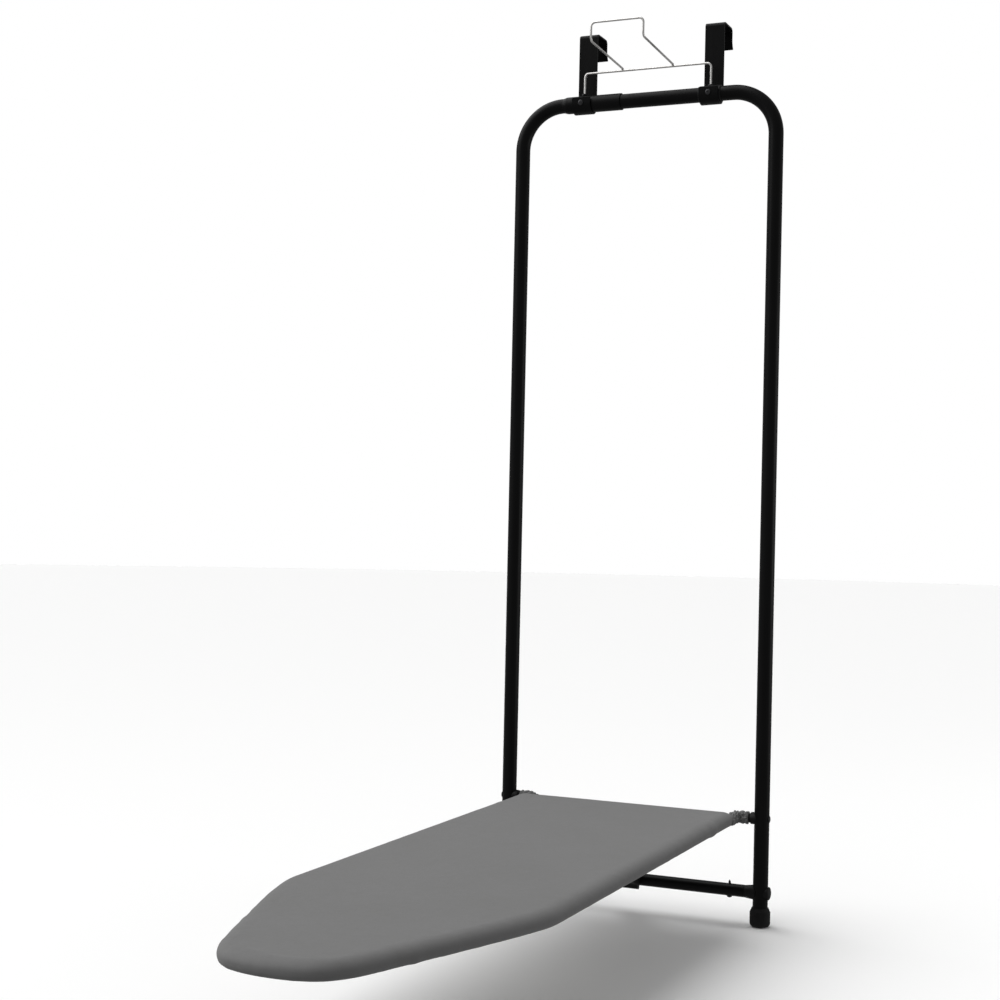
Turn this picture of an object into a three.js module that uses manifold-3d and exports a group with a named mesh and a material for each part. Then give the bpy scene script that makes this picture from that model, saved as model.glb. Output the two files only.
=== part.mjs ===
// Over-the-door hanging ironing board: two J-shaped tubes form the hanging frame, two strap
// hooks hold it on a door, a wire iron rest plugs into the top bar, and the board folds up
// between the uprights. A prop under the board seats on the lower crossbar.
// Units are millimetres. +X runs along the door, +Y into the door, +Z up.
import * as THREE from 'three';
import { mergeVertices } from 'three/addons/utils/BufferGeometryUtils.js';
import Module from 'manifold-3d';

const wasm = await Module();
wasm.setup();

// ---- driving dimensions ----
const gap = 0.3;                 // clearance kept between pieces that touch
const frameWidth = 403;          // between the centres of the two uprights
const tubeRadius = 11;
const tubeWall = 1.2;
const bendRadius = 66;           // centre line of the top bends
const barHeight = 1226;          // top bar's centre above the feet
const doorFace = 15.5;           // door's front face behind the tubes' centre plane

const socketRadius = 12.7;       // widened end of the left tube
const socketEnd = -39.5;
const socketTaper = 8;
const jointScrewX = -57;         // screw that locks the two tubes together, at the back
const innerTubeEnd = -75;        // the right tube stops here inside the socket

const hookSpacing = 202;
const hookWidth = 30;
const hookThickness = 2.5;
const hookHeight = 111.5;        // hook's top above the bar's centre
const doorGap = 38;
const hookLipDrop = 30;
const hookBend = 4;

const footRadius = 15;
const footHeight = 28;
const footFloor = 5;
const footShoulder = 6;

const crossbarHeight = 49;
const crossbarRadius = 9;
const crossbarWall = 1.3;
const plugFlare = 10.5;          // plug's collar radius at the upright
const plugScrewX = 155;
const capRadius = 9.6;
const capRise = 4.2;
const boltHeadHeight = 2;

const pivotHeight = 157;
const bossRadius = 8.8;
const bossLength = 5.5;
const neckRadius = 5.6;
const pivotBoltRadius = 3;

const boardHalfWidth = 171;      // outside of the cover
const boardRear = -30;           // rear edge of the cover
const boardTip = -1045;
const shoulder = 680;            // where the straight sides end, from the rear edge
const shoulderCorner = 711;
const taperStart = 812;
const noseStart = 951;
const noseFullness = 0.66;       // how far the tip's flat front reaches out
const noseHandle = 35;           // length over which the taper bends into the nose
const taperSlope = 0.344;        // half width lost per millimetre of length
const rearCorner = 16;

const coverThickness = 1;
const padThickness = 4;
const sheetThickness = 0.8;
const railRadius = 6;            // board's perimeter tube
const railWall = 1;
const coverRounding = 3;         // inside radius of the cover's edges
const hemWidth = 42;             // how far the cover turns in underneath

const memberPlaces = [-170, -300, -520, -760];
const memberWidth = 24;
const memberDepth = 10;
const memberWall = 1.2;

const rivetRadius = 1.6;
const rivetX = 11;               // prop bracket's rivets, either side of the middle

const propHingeY = -300;
const propHingeDrop = 16;
const propWidth = 36;
const propHeight = 14;
const propWall = 1.5;
const saddleWidth = 38;

const wireRadius = 1.6;
const legSpacing = 201;
const restHeight = 47;           // rest's base wire above the bar's centre
const legDepth = 18;             // how far a leg reaches below the bar's top
const armSpacing = 80;
const armReach = 135;
const armRise = 7;
const upstand = 30;

// ---- derived places ----
const uprightX = frameWidth / 2;
const uprightInner = uprightX - tubeRadius;
const hookTop = barHeight + hookHeight;
const hookUnderside = hookTop - hookThickness;
const railInset = coverThickness + gap + railRadius;
const railX = boardHalfWidth - railInset;
const railRear = 7;
const neckEnd = uprightInner - bossLength - 2 - gap;
const padInset = coverThickness + coverRounding;
const clipY = memberPlaces[0];
const sheetBottom = railRadius + gap;
const padBottom = sheetBottom + sheetThickness + gap;
const coverTop = padBottom + padThickness + gap + coverThickness;
const coverBottom = -(railRadius + gap + coverThickness);
const memberBottom = railRadius - memberDepth;
const hingeToCrossbar = new THREE.Vector2(-propHingeY, pivotHeight - propHingeDrop - crossbarHeight);
const propLength = hingeToCrossbar.length();
const propAngle = hingeToCrossbar.angle();
const saddleRivetY = propLength - 56;

// ---- materials ----
const paint = { color: 0x0b0b0c, roughness: 0.38, metalness: 0.1 };
const plastic = { color: 0x111112, roughness: 0.55, metalness: 0 };
const rubber = { color: 0x0e0e0e, roughness: 0.85, metalness: 0 };
const zinc = { color: 0xd3d4d4, roughness: 0.3, metalness: 0.9 };
const steel = { color: 0x8b8d8f, roughness: 0.4, metalness: 0.85 };
const cloth = { color: 0x7a7a7a, roughness: 0.9, metalness: 0 };
const foam = { color: 0xd8d5cc, roughness: 0.95, metalness: 0 };

// ---- helpers ----
function piece(parent, name, geometry, look) {
  const mesh = new THREE.Mesh(geometry, new THREE.MeshStandardMaterial(look));
  mesh.name = name;
  parent.add(mesh);
  return mesh;
}

function toSolid(geometry) {
  const bare = geometry.clone();
  bare.deleteAttribute('normal');
  bare.deleteAttribute('uv');
  const merged = mergeVertices(bare, 1e-4);
  return new wasm.Manifold(new wasm.Mesh({
    numProp: 3,
    vertProperties: new Float32Array(merged.attributes.position.array),
    triVerts: new Uint32Array(merged.index.array),
  }));
}

function toGeometry(solid) {
  const mesh = solid.getMesh();
  const geometry = new THREE.BufferGeometry();
  geometry.setAttribute('position', new THREE.BufferAttribute(mesh.vertProperties, 3));
  geometry.setIndex(new THREE.BufferAttribute(mesh.triVerts, 1));
  const faceted = geometry.toNonIndexed();
  faceted.computeVertexNormals();
  return faceted;
}

function cut(geometry, ...tools) {
  let solid = toSolid(geometry);
  for (const tool of tools) {
    solid = solid.subtract(toSolid(tool));
  }
  return toGeometry(solid);
}

function join(geometry, ...others) {
  let solid = toSolid(geometry);
  for (const other of others) {
    solid = solid.add(toSolid(other));
  }
  return toGeometry(solid);
}

// cylinder from one point to another, or a cone frustum with a second radius
function rod(from, to, radius, endRadius = radius, sides = 12) {
  const start = new THREE.Vector3(...from);
  const end = new THREE.Vector3(...to);
  const direction = end.clone().sub(start);
  const geometry = new THREE.CylinderGeometry(endRadius, radius, direction.length(), sides);
  const turn = new THREE.Quaternion().setFromUnitVectors(
    new THREE.Vector3(0, 1, 0), direction.clone().normalize());
  geometry.applyQuaternion(turn);
  geometry.translate(...start.add(end).multiplyScalar(0.5).toArray());
  return geometry;
}

function box(low, high) {
  const geometry = new THREE.BoxGeometry(high[0] - low[0], high[1] - low[1], high[2] - low[2]);
  geometry.translate((low[0] + high[0]) / 2, (low[1] + high[1]) / 2, (low[2] + high[2]) / 2);
  return geometry;
}

// turned part about the X axis: profile points are (radius, x)
function turnedAlongX(profile, sides = 16) {
  const points = profile.map(([radius, x]) => new THREE.Vector2(radius, x));
  const geometry = new THREE.LatheGeometry(points, sides);
  geometry.rotateZ(-Math.PI / 2);
  return geometry;
}

function turnedAlongZ(profile, sides = 16) {
  const points = profile.map(([radius, z]) => new THREE.Vector2(radius, z));
  const geometry = new THREE.LatheGeometry(points, sides);
  geometry.rotateX(Math.PI / 2);
  return geometry;
}

// a side profile drawn as (y, z) and given a width along X
function sideProfile(shape, width, curveSegments = 10) {
  const geometry = new THREE.ExtrudeGeometry(shape, { depth: width, bevelEnabled: false, curveSegments });
  geometry.translate(0, 0, -width / 2);
  geometry.applyMatrix4(new THREE.Matrix4().makeBasis(
    new THREE.Vector3(0, 1, 0), new THREE.Vector3(0, 0, 1), new THREE.Vector3(1, 0, 0)));
  return geometry;
}

// a front profile drawn as (x, z) and given a length along Y
function frontProfile(shape, length) {
  const geometry = new THREE.ExtrudeGeometry(shape, { depth: length, bevelEnabled: false });
  geometry.translate(0, 0, -length / 2);
  geometry.rotateX(Math.PI / 2);
  return geometry;
}

// a path through chosen points only, so that straight runs cost no extra sections
class PointPath extends THREE.Curve {
  constructor(points) {
    super();
    this.points = points;
  }
  getPointAt(u, target = new THREE.Vector3()) {
    return target.copy(this.points[Math.round(u * (this.points.length - 1))]);
  }
  getTangentAt(u, target = new THREE.Vector3()) {
    const last = this.points.length - 1;
    const index = Math.round(u * last);
    const before = this.points[Math.max(index - 1, 0)];
    const after = this.points[Math.min(index + 1, last)];
    return target.copy(after).sub(before).normalize();
  }
}

function ringShape(outer, inner, sides) {
  const circle = (radius) => Array.from({ length: sides }, (_, i) => {
    const angle = (i / sides) * 2 * Math.PI;
    return new THREE.Vector2(radius * Math.cos(angle), radius * Math.sin(angle));
  });
  const shape = new THREE.Shape(circle(outer));
  if (inner > 0) {
    shape.holes.push(new THREE.Path(circle(inner)));
  }
  return shape;
}

function bentTube(points, outer, inner, sides = 14) {
  return new THREE.ExtrudeGeometry(ringShape(outer, inner, sides), {
    steps: points.length - 1,
    extrudePath: new PointPath(points),
  });
}

// corner points replaced by arcs of the given radius
function filletedPath(corners, radius, arcSteps) {
  const points = [corners[0].clone()];
  for (let i = 1; i < corners.length - 1; i += 1) {
    const towardBack = corners[i - 1].clone().sub(corners[i]).normalize();
    const towardNext = corners[i + 1].clone().sub(corners[i]).normalize();
    const turn = Math.PI - towardBack.angleTo(towardNext);
    const reach = radius * Math.tan(turn / 2);
    const centreDirection = towardBack.clone().add(towardNext).normalize();
    const centre = corners[i].clone().addScaledVector(centreDirection, radius / Math.cos(turn / 2));
    const arcStart = corners[i].clone().addScaledVector(towardBack, reach).sub(centre);
    const axis = towardNext.clone().cross(towardBack).normalize();
    for (let k = 0; k <= arcSteps; k += 1) {
      points.push(arcStart.clone().applyAxisAngle(axis, (turn * k) / arcSteps).add(centre));
    }
  }
  points.push(corners[corners.length - 1].clone());
  return points;
}

// a strip of constant thickness along a centre line of (y, z) points
function stripShape(line, thickness) {
  const sides = [[], []];
  line.forEach((point, i) => {
    const before = line[Math.max(i - 1, 0)];
    const after = line[Math.min(i + 1, line.length - 1)];
    const along = after.clone().sub(before).normalize();
    const normal = new THREE.Vector2(-along.y, along.x).multiplyScalar(thickness / 2);
    sides[0].push(point.clone().add(normal));
    sides[1].unshift(point.clone().sub(normal));
  });
  return new THREE.Shape([...sides[0], ...sides[1]]);
}

// ---- board outline ----
// Right half of the outline moved inwards by an inset, as (x, y) points from the middle of
// the rear edge to the tip: a straight side, a rounded shoulder, a straight taper, a nose.
function halfOutline(inset) {
  const path = new THREE.Path();
  const y = (fromRear) => boardRear - fromRear;
  const side = boardHalfWidth - inset;
  const corner = Math.max(rearCorner - inset, 3);
  const slant = Math.hypot(1, taperSlope);
  const taperWidth = (s) => boardHalfWidth - taperSlope * (s - shoulderCorner) - inset * slant;
  const shoulderControl = shoulderCorner - (inset * (slant - 1)) / taperSlope;
  const noseFrom = noseStart - (inset * taperSlope) / slant;
  const tip = boardTip + inset;
  const handle = Math.min(noseHandle, 0.6 * (y(noseFrom) - tip));
  path.moveTo(0, y(inset));
  path.lineTo(side - corner, y(inset));
  path.quadraticCurveTo(side, y(inset), side, y(inset + corner));
  path.lineTo(side, y(shoulder));
  path.quadraticCurveTo(side, y(shoulderControl), taperWidth(taperStart), y(taperStart));
  path.lineTo(taperWidth(noseFrom), y(noseFrom));
  path.bezierCurveTo(
    taperWidth(noseFrom + handle), y(noseFrom + handle),
    taperWidth(noseFrom) * noseFullness, tip,
    0, tip);
  return path.getPoints(6);
}

function outline(inset) {
  const half = halfOutline(inset);
  return [...half, ...half.slice(1, -1).reverse().map((p) => new THREE.Vector2(-p.x, p.y))];
}

function slab(inset, low, high, bevel = 0) {
  const geometry = new THREE.ExtrudeGeometry(new THREE.Shape(outline(inset + bevel)), {
    depth: high - low - 2 * bevel,
    bevelEnabled: bevel > 0,
    bevelThickness: bevel,
    bevelSize: bevel,
    bevelSegments: 2,
  });
  geometry.translate(0, 0, low + bevel);
  return geometry;
}

// Narrowest half width of the board between two places along it.
function halfWidthBetween(yLow, yHigh, inset) {
  const inside = outline(inset).filter((p) => p.x > 0 && p.y < yHigh + 60 && p.y > yLow - 60);
  const widthAt = (y) => {
    for (let i = 1; i < inside.length; i += 1) {
      const [a, b] = [inside[i - 1], inside[i]];
      if ((a.y - y) * (b.y - y) <= 0 && a.y !== b.y) {
        return a.x + ((b.x - a.x) * (y - a.y)) / (b.y - a.y);
      }
    }
    return boardHalfWidth - inset;
  };
  return Math.min(widthAt(yLow), widthAt(yHigh));
}

// ---- hanging frame ----
function leftTube() {
  const corner = new THREE.Vector3(-uprightX, 0, barHeight);
  const line = filletedPath([
    new THREE.Vector3(-uprightX, 0, footFloor + gap),
    corner,
    new THREE.Vector3(-uprightX + bendRadius + 2, 0, barHeight),
  ], bendRadius, 6);
  const bore = tubeRadius - tubeWall;
  const socketBore = socketRadius - tubeWall;
  const socketStart = -uprightX + bendRadius + 1;
  const socket = turnedAlongX([
    [bore, socketStart],
    [tubeRadius, socketStart],
    [socketRadius, socketStart + socketTaper],
    [socketRadius, socketEnd],
    [socketBore, socketEnd],
    [socketBore, socketStart + socketTaper],
    [bore, socketStart],
  ], 14);
  socket.rotateX(Math.PI / 14);
  socket.translate(0, 0, barHeight);
  return join(bentTube(line, tubeRadius, bore), socket);
}

function rightTube() {
  const line = filletedPath([
    new THREE.Vector3(uprightX, 0, footFloor + gap),
    new THREE.Vector3(uprightX, 0, barHeight),
    new THREE.Vector3(innerTubeEnd, 0, barHeight),
  ], bendRadius, 6);
  return bentTube(line, tubeRadius, tubeRadius - tubeWall);
}

function tubeDrillings(side) {
  const x = side * uprightX;
  const hookX = side * hookSpacing / 2;
  const legX = side * legSpacing / 2;
  return [
    rod([x - 20, 0, pivotHeight], [x + 20, 0, pivotHeight], pivotBoltRadius + gap),
    rod([x - 20, 0, crossbarHeight], [x + 20, 0, crossbarHeight], 3 + gap),
    rod([hookX, -20, barHeight], [hookX, 0, barHeight], 2 + gap),
    rod([legX, 0, barHeight], [legX, 0, barHeight + 20], 3.2 + gap),
  ];
}

function jointDrilling() {
  return rod([jointScrewX, 0, barHeight], [jointScrewX, 20, barHeight], 1.8 + gap);
}

function jointScrew() {
  return join(
    rod([jointScrewX, 4, barHeight], [jointScrewX, 13.2, barHeight], 1.8),
    rod([jointScrewX, 13, barHeight], [jointScrewX, 15.2, barHeight], 4.2, 3));
}

function hook() {
  const cradle = socketRadius + gap + hookThickness / 2;
  const lipY = doorFace + doorGap + hookThickness / 2;
  const strapY = doorFace - hookThickness / 2;
  const topZ = hookTop - hookThickness / 2;
  const path = new THREE.Path();
  path.moveTo(lipY + 5, topZ - hookLipDrop);
  path.lineTo(lipY, topZ - hookLipDrop + 9);
  path.lineTo(lipY, topZ - hookBend);
  path.quadraticCurveTo(lipY, topZ, lipY - hookBend, topZ);
  path.lineTo(strapY + hookBend, topZ);
  path.quadraticCurveTo(strapY, topZ, strapY, topZ - hookBend);
  path.lineTo(cradle, barHeight);
  path.absarc(0, barHeight, cradle, 0, -Math.PI, true);
  path.lineTo(-cradle, barHeight + 8.5);
  return sideProfile(stripShape(path.getPoints(5), hookThickness), hookWidth);
}

function addHook(parent, side) {
  const name = side < 0 ? 'left' : 'right';
  const x = side * hookSpacing / 2;
  const screwHole = rod([0, -22, barHeight], [0, -5, barHeight], 2 + gap);
  const mesh = piece(parent, `door_hook_${name}`, cut(hook(), screwHole), paint);
  mesh.position.x = x;
  const front = -(socketRadius + gap + hookThickness);
  const screw = join(
    rod([x, front + 0.2, barHeight], [x, -5.5, barHeight], 2),
    rod([x, front - gap, barHeight], [x, front - 2.6, barHeight], 4.3, 3.2));
  piece(parent, `hook_screw_${name}`, join(screw,
    rod([x, front - gap - 0.1, barHeight], [x, front + 0.4, barHeight], 2)), steel);
  const padZ = hookUnderside - 8;
  const pad = box([x - 10, doorFace + gap, padZ - 52], [x + 10, doorFace + 2.3, padZ]);
  piece(parent, `hook_pad_${name}`, pad, foam);
}

function hookSleeve() {
  const inner = tubeRadius + gap;
  const half = hookWidth / 2 + 2.5;
  const ring = turnedAlongX([
    [inner, -half],
    [socketRadius - 1.2, -half],
    [socketRadius, -half + 2.4],
    [socketRadius, half - 2.4],
    [socketRadius - 1.2, half],
    [inner, half],
    [inner, -half],
  ]);
  const legOffset = (legSpacing - hookSpacing) / 2;
  const sleeve = cut(ring,
    rod([0, -20, 0], [0, 0, 0], 2 + gap),
    rod([legOffset, 0, 0], [legOffset, 0, 20], 4.6 + gap));
  sleeve.translate(hookSpacing / 2, 0, barHeight);
  return sleeve;
}

function grommet(side) {
  const bore = wireRadius + gap;
  const topZ = side < 0 ? socketRadius : tubeRadius;
  const shape = turnedAlongZ([
    [bore, topZ - tubeWall - 3],
    [3.2, topZ - tubeWall - 3],
    [3.2, topZ + gap],
    [4.6, topZ + gap],
    [4.6, topZ + 2.6],
    [3.6, topZ + 3.6],
    [bore, topZ + 3.6],
    [bore, topZ - tubeWall - 3],
  ], 12);
  shape.translate(side * legSpacing / 2, 0, barHeight);
  return shape;
}

function foot() {
  const inner = tubeRadius + gap;
  return turnedAlongZ([
    [0, 0],
    [footRadius - 4, 0],
    [footRadius, 5],
    [footRadius, footHeight - footShoulder],
    [inner + 0.7, footHeight],
    [inner, footHeight],
    [inner, footFloor],
    [0, footFloor],
  ], 20);
}

// ---- lower crossbar ----
function crossbar() {
  const half = uprightInner - 12;
  const ring = new THREE.ExtrudeGeometry(
    ringShape(crossbarRadius, crossbarRadius - crossbarWall, 16),
    { depth: 2 * half, bevelEnabled: false });
  ring.translate(0, 0, -half);
  ring.rotateY(Math.PI / 2);
  ring.translate(0, 0, crossbarHeight);
  return cut(ring, ...[-1, 1].map((side) => rod(
    [side * plugScrewX, 0, crossbarHeight - 20], [side * plugScrewX, 0, crossbarHeight + 20],
    2 + gap)));
}

function crossbarPlug() {
  const insert = crossbarRadius - crossbarWall - gap;
  const collarStart = uprightInner - 12 + gap;
  const body = turnedAlongX([
    [0, plugScrewX - 12],
    [insert - 1, plugScrewX - 12],
    [insert, plugScrewX - 9],
    [insert, collarStart],
    [crossbarRadius, collarStart],
    [crossbarRadius + 0.5, collarStart + 4],
    [plugFlare, uprightInner + 5],
    [0, uprightInner + 5],
  ]);
  const plug = cut(body,
    rod([uprightX, 0, -30], [uprightX, 0, 30], tubeRadius + gap, tubeRadius + gap, 20),
    rod([plugScrewX + 5, 0, 0], [uprightX, 0, 0], 3 + gap),
    rod([plugScrewX, 0, -20], [plugScrewX, 0, 20], 2 + gap));
  return plug;
}

function crossbarBolt() {
  const head = uprightX + tubeRadius + gap;
  return join(
    rod([plugScrewX + 8, 0, 0], [head + 0.5, 0, 0], 3),
    rod([head, 0, 0], [head + boltHeadHeight, 0, 0], 5, 5, 6));
}

function domedCap() {
  const outside = uprightX + tubeRadius;
  const dome = [];
  const steps = 4;
  for (let i = 0; i <= steps; i += 1) {
    const angle = (i / steps) * (Math.PI / 2);
    dome.push([capRadius * Math.cos(angle), outside + 1.2 + (capRise - 1.2) * Math.sin(angle)]);
  }
  dome[steps][0] = 0;
  const body = turnedAlongX([[0, outside - 6], [capRadius, outside - 6], ...dome]);
  return cut(body,
    rod([uprightX, 0, -30], [uprightX, 0, 30], tubeRadius + gap, tubeRadius + gap, 20),
    rod([outside - 3, 0, 0], [outside + boltHeadHeight + 2 * gap, 0, 0], 5.4));
}

function plugScrew() {
  const below = crossbarHeight - crossbarRadius;
  const above = crossbarHeight + crossbarRadius;
  return turnedAlongZ([
    [0, below - 2.6],
    [1.8, below - 2.4],
    [3.4, below - 1.5],
    [4.2, below - gap],
    [2, below - gap],
    [2, above + 2],
    [0.4, above + 5.5],
    [0, above + 5.5],
  ], 16);
}

// ---- board pivots ----
function pivotBoss() {
  const flangeStart = uprightInner - bossLength;
  const railOuter = railX + railRadius + gap;
  const bore = pivotBoltRadius + gap;
  const body = turnedAlongX([
    [bore, railOuter],
    [neckRadius, railOuter],
    [neckRadius, flangeStart - 2],
    [bossRadius - 1, flangeStart],
    [bossRadius, flangeStart + 1.5],
    [bossRadius, uprightInner + 6],
    [bore, uprightInner + 6],
    [bore, railOuter],
  ]);
  return cut(body, rod([uprightX, 0, -30], [uprightX, 0, 30],
    tubeRadius + gap, tubeRadius + gap, 20));
}

function pivotBolt() {
  const head = uprightX + tubeRadius + gap;
  const end = railX - railRadius - 7.5;
  return turnedAlongX([
    [0, end],
    [pivotBoltRadius, end],
    [pivotBoltRadius, head],
    [5, head],
    [4.2, head + 0.6],
    [0, head + 0.8],
  ]);
}

function pivotNut() {
  const start = railX - railRadius - gap - 5;
  return cut(
    rod([start, 0, 0], [start + 5, 0, 0], 5.6, 5.6, 6),
    rod([start - 1, 0, 0], [start + 6, 0, 0], pivotBoltRadius + gap));
}

// ---- iron rest ----
function restBaseWire() {
  const z = barHeight + restHeight;
  const foot1 = barHeight + socketRadius - legDepth;
  const half = legSpacing / 2;
  return bentTube(filletedPath([
    new THREE.Vector3(-half, 0, foot1),
    new THREE.Vector3(-half, 0, z),
    new THREE.Vector3(half, 0, z),
    new THREE.Vector3(half, 0, foot1),
  ], 6, 3), wireRadius, 0, 8);
}

function restLoopWire() {
  const start = barHeight + restHeight;
  const half = armSpacing / 2;
  const behind = wireRadius * 2 + gap;
  const corner = start + armRise;
  return bentTube(filletedPath([
    new THREE.Vector3(-half, 2, start + behind),
    new THREE.Vector3(-half, -armReach, corner + behind),
    new THREE.Vector3(-half, -armReach, corner + upstand),
    new THREE.Vector3(half, -armReach, corner + upstand),
    new THREE.Vector3(half, -armReach, corner + behind),
    new THREE.Vector3(half, 2, start + behind),
  ], 5, 3), wireRadius, 0, 8);
}

// ---- board ----
function boardRail() {
  const half = outline(railInset).filter((p) => p.x > 1 && p.y < boardRear - rearCorner - 1);
  const right = half.map((p) => new THREE.Vector3(p.x, p.y, 0));
  const left = right.slice().reverse().map((p) => new THREE.Vector3(-p.x, p.y, 0));
  const tip = new THREE.Vector3(0, boardTip + railInset, 0);
  const points = [
    new THREE.Vector3(railX, railRear, 0),
    ...right,
    tip,
    ...left,
    new THREE.Vector3(-railX, railRear, 0),
  ];
  const tube = bentTube(points, railRadius, railRadius - railWall, 10);
  return cut(tube, rod([-boardHalfWidth, 0, 0], [boardHalfWidth, 0, 0], pivotBoltRadius + gap));
}

function railCap() {
  const inner = railRadius - railWall - gap;
  const cap = turnedAlongZ([
    [0, -10],
    [inner - 1, -10],
    [inner, -8],
    [inner, gap],
    [railRadius, gap],
    [railRadius, 1.4],
    [railRadius - 1, 2.4],
    [0, 2.4],
  ], 16);
  cap.rotateX(-Math.PI / 2);
  cap.translate(0, railRear, 0);
  return cut(cap, rod([-10, 0, 0], [10, 0, 0], pivotBoltRadius + gap));
}

function rearTube() {
  const half = railX - railRadius - gap;
  const ring = new THREE.ExtrudeGeometry(
    ringShape(railRadius, railRadius - railWall, 10), { depth: 2 * half, bevelEnabled: false });
  ring.translate(0, 0, -half);
  ring.rotateY(Math.PI / 2);
  ring.translate(0, boardRear - 8, 0);
  return ring;
}

function rivetHole(x, y) {
  return rod([x, y, -20], [x, y, 5], rivetRadius + gap);
}

function crossMember(y, rivetPlaces) {
  const half = halfWidthBetween(
    y - memberWidth / 2, y + memberWidth / 2, railInset + railRadius + gap) - 1;
  const w = memberWidth / 2;
  const t = memberWall;
  const shape = new THREE.Shape([
    [-w, memberBottom], [w, memberBottom], [w, railRadius], [w - t, railRadius],
    [w - t, memberBottom + t], [-w + t, memberBottom + t], [-w + t, railRadius], [-w, railRadius],
  ].map(([a, b]) => new THREE.Vector2(a, b)));
  const channel = sideProfile(shape, 2 * half);
  channel.translate(0, y, 0);
  return cut(channel, ...rivetPlaces.map((x) => rivetHole(x, y)));
}

function cover() {
  const opening = slab(coverThickness + hemWidth, coverBottom - 1, coverBottom + 3);
  const hollow = slab(coverThickness, coverBottom + coverThickness, coverTop - coverThickness,
    coverRounding);
  const skin = slab(0, coverBottom, coverTop, coverRounding + coverThickness);
  const armSlots = [-1, 1].map((side) => rod(
    [side * railX, boardRear - 30, 0], [side * railX, 10, 0], railRadius + gap));
  return cut(skin, hollow, opening, ...armSlots);
}

function gather(side) {
  const inner = railRadius + gap;
  const front = boardRear + gap;
  const sleeve = turnedAlongZ([
    [inner, 0],
    [10.2, 0],
    [9.4, 4],
    [7.9, 12],
    [8.6, 18],
    [8, 26],
    [8.3, 33],
    [inner, 34],
    [inner, 0],
  ], 14);
  sleeve.rotateX(-Math.PI / 2);
  sleeve.translate(side * railX, front, 0);
  // the cloth's end is drawn round the neck of the pivot boss
  const neck = turnedAlongX([
    [neckRadius + gap, railX],
    [8.4, railX],
    [8.7, railX + 10],
    [7.9, railX + 14],
    [8.4, neckEnd],
    [neckRadius + gap, neckEnd],
    [neckRadius + gap, railX],
  ], 14);
  const armHole = rod(
    [side * railX, front - 1, 0], [side * railX, railRear + 3, 0], inner, inner, 14);
  const neckHole = rod(
    [side * (railX - 20), 0, 0], [side * (neckEnd + 1), 0, 0], neckRadius + gap);
  return cut(join(sleeve, mirrored(neck, side)), armHole, neckHole);
}

// ---- prop ----
function propBracket() {
  const outer = propWidth / 2 + 2.5;
  const top = memberBottom - gap;
  const low = -propHingeDrop - 6;
  const shape = new THREE.Shape([
    [-outer, low], [-outer + 2, low], [-outer + 2, top - 2], [outer - 2, top - 2],
    [outer - 2, low], [outer, low], [outer, top], [-outer, top],
  ].map(([a, b]) => new THREE.Vector2(a, b)));
  const bracket = frontProfile(shape, 28);
  bracket.translate(0, propHingeY, 0);
  const pinHole = rod(
    [-outer - 5, propHingeY, -propHingeDrop], [outer + 5, propHingeY, -propHingeDrop], 3 + gap);
  return cut(bracket, pinHole, rivetHole(-rivetX, propHingeY), rivetHole(rivetX, propHingeY));
}

function rivet(x, y, topZ, lowZ) {
  const shape = turnedAlongZ([
    [0, lowZ - 1.3],
    [2.2, lowZ - 1.1],
    [3.1, lowZ - gap],
    [rivetRadius, lowZ - gap],
    [rivetRadius, topZ + gap],
    [2.6, topZ + gap],
    [2, topZ + 1.2],
    [0, topZ + 1.4],
  ], 12);
  shape.translate(x, y, 0);
  return shape;
}

function hingePin() {
  const reach = propWidth / 2 + 2.5 + gap;
  return turnedAlongX([
    [0, -reach - 2.4],
    [4, -reach - 2],
    [5, -reach],
    [3, -reach],
    [3, reach + 0.4],
    [4.6, reach + 0.4],
    [4.6, reach + 1.6],
    [2.6, reach + 2.6],
    [0, reach + 2.6],
  ]);
}

function propChannel() {
  const half = propWidth / 2;
  const high = propHeight / 2;
  const t = propWall;
  const shape = new THREE.Shape([
    [-half, -high], [-half + t, -high], [-half + t, high - t], [half - t, high - t],
    [half - t, -high], [half, -high], [half, high], [-half, high],
  ].map(([a, b]) => new THREE.Vector2(a, b)));
  const start = -8;
  const end = propLength - 42;
  const channel = frontProfile(shape, end - start);
  channel.translate(0, (start + end) / 2, 0);
  return cut(channel,
    rod([-30, 0, 0], [30, 0, 0], 3 + gap),
    rod([-30, saddleRivetY, 0], [30, saddleRivetY, 0], 2 + gap));
}

function saddle() {
  const seat = crossbarRadius + gap;
  const rim = seat + 4.5;
  const topAngle = Math.PI / 2 + propAngle;
  const shape = new THREE.Shape();
  shape.moveTo(propLength - seat, -12);
  shape.lineTo(propLength - seat, 0);
  shape.absarc(propLength, 0, seat, Math.PI, topAngle, true);
  shape.lineTo(propLength + rim * Math.cos(topAngle), rim * Math.sin(topAngle));
  shape.absarc(propLength, 0, rim, topAngle, topAngle + 0.7, false);
  shape.lineTo(propLength - 40, 8.5);
  shape.lineTo(propLength - 40, -8.5);
  shape.lineTo(propLength - 19, -10);
  shape.quadraticCurveTo(propLength - 17, -16, propLength - 14, -16);
  shape.quadraticCurveTo(propLength - seat, -16, propLength - seat, -12);
  shape.closePath();
  const inside = propWidth / 2 - propWall - gap;
  const tongue = box(
    [-inside, propLength - 70, -6], [inside, propLength - 38, propHeight / 2 - propWall - gap]);
  const block = sideProfile(shape, saddleWidth, 8);
  return cut(join(block, tongue), rod([-30, saddleRivetY, 0], [30, saddleRivetY, 0], 2 + gap));
}

function saddleRivet() {
  const reach = propWidth / 2 + gap;
  const shape = turnedAlongX([
    [0, -reach - 1.4],
    [2.4, -reach - 1.2],
    [3.6, -reach],
    [2, -reach],
    [2, reach],
    [3.6, reach],
    [2.4, reach + 1.2],
    [0, reach + 1.4],
  ], 14);
  shape.translate(0, saddleRivetY, 0);
  return shape;
}

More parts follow.
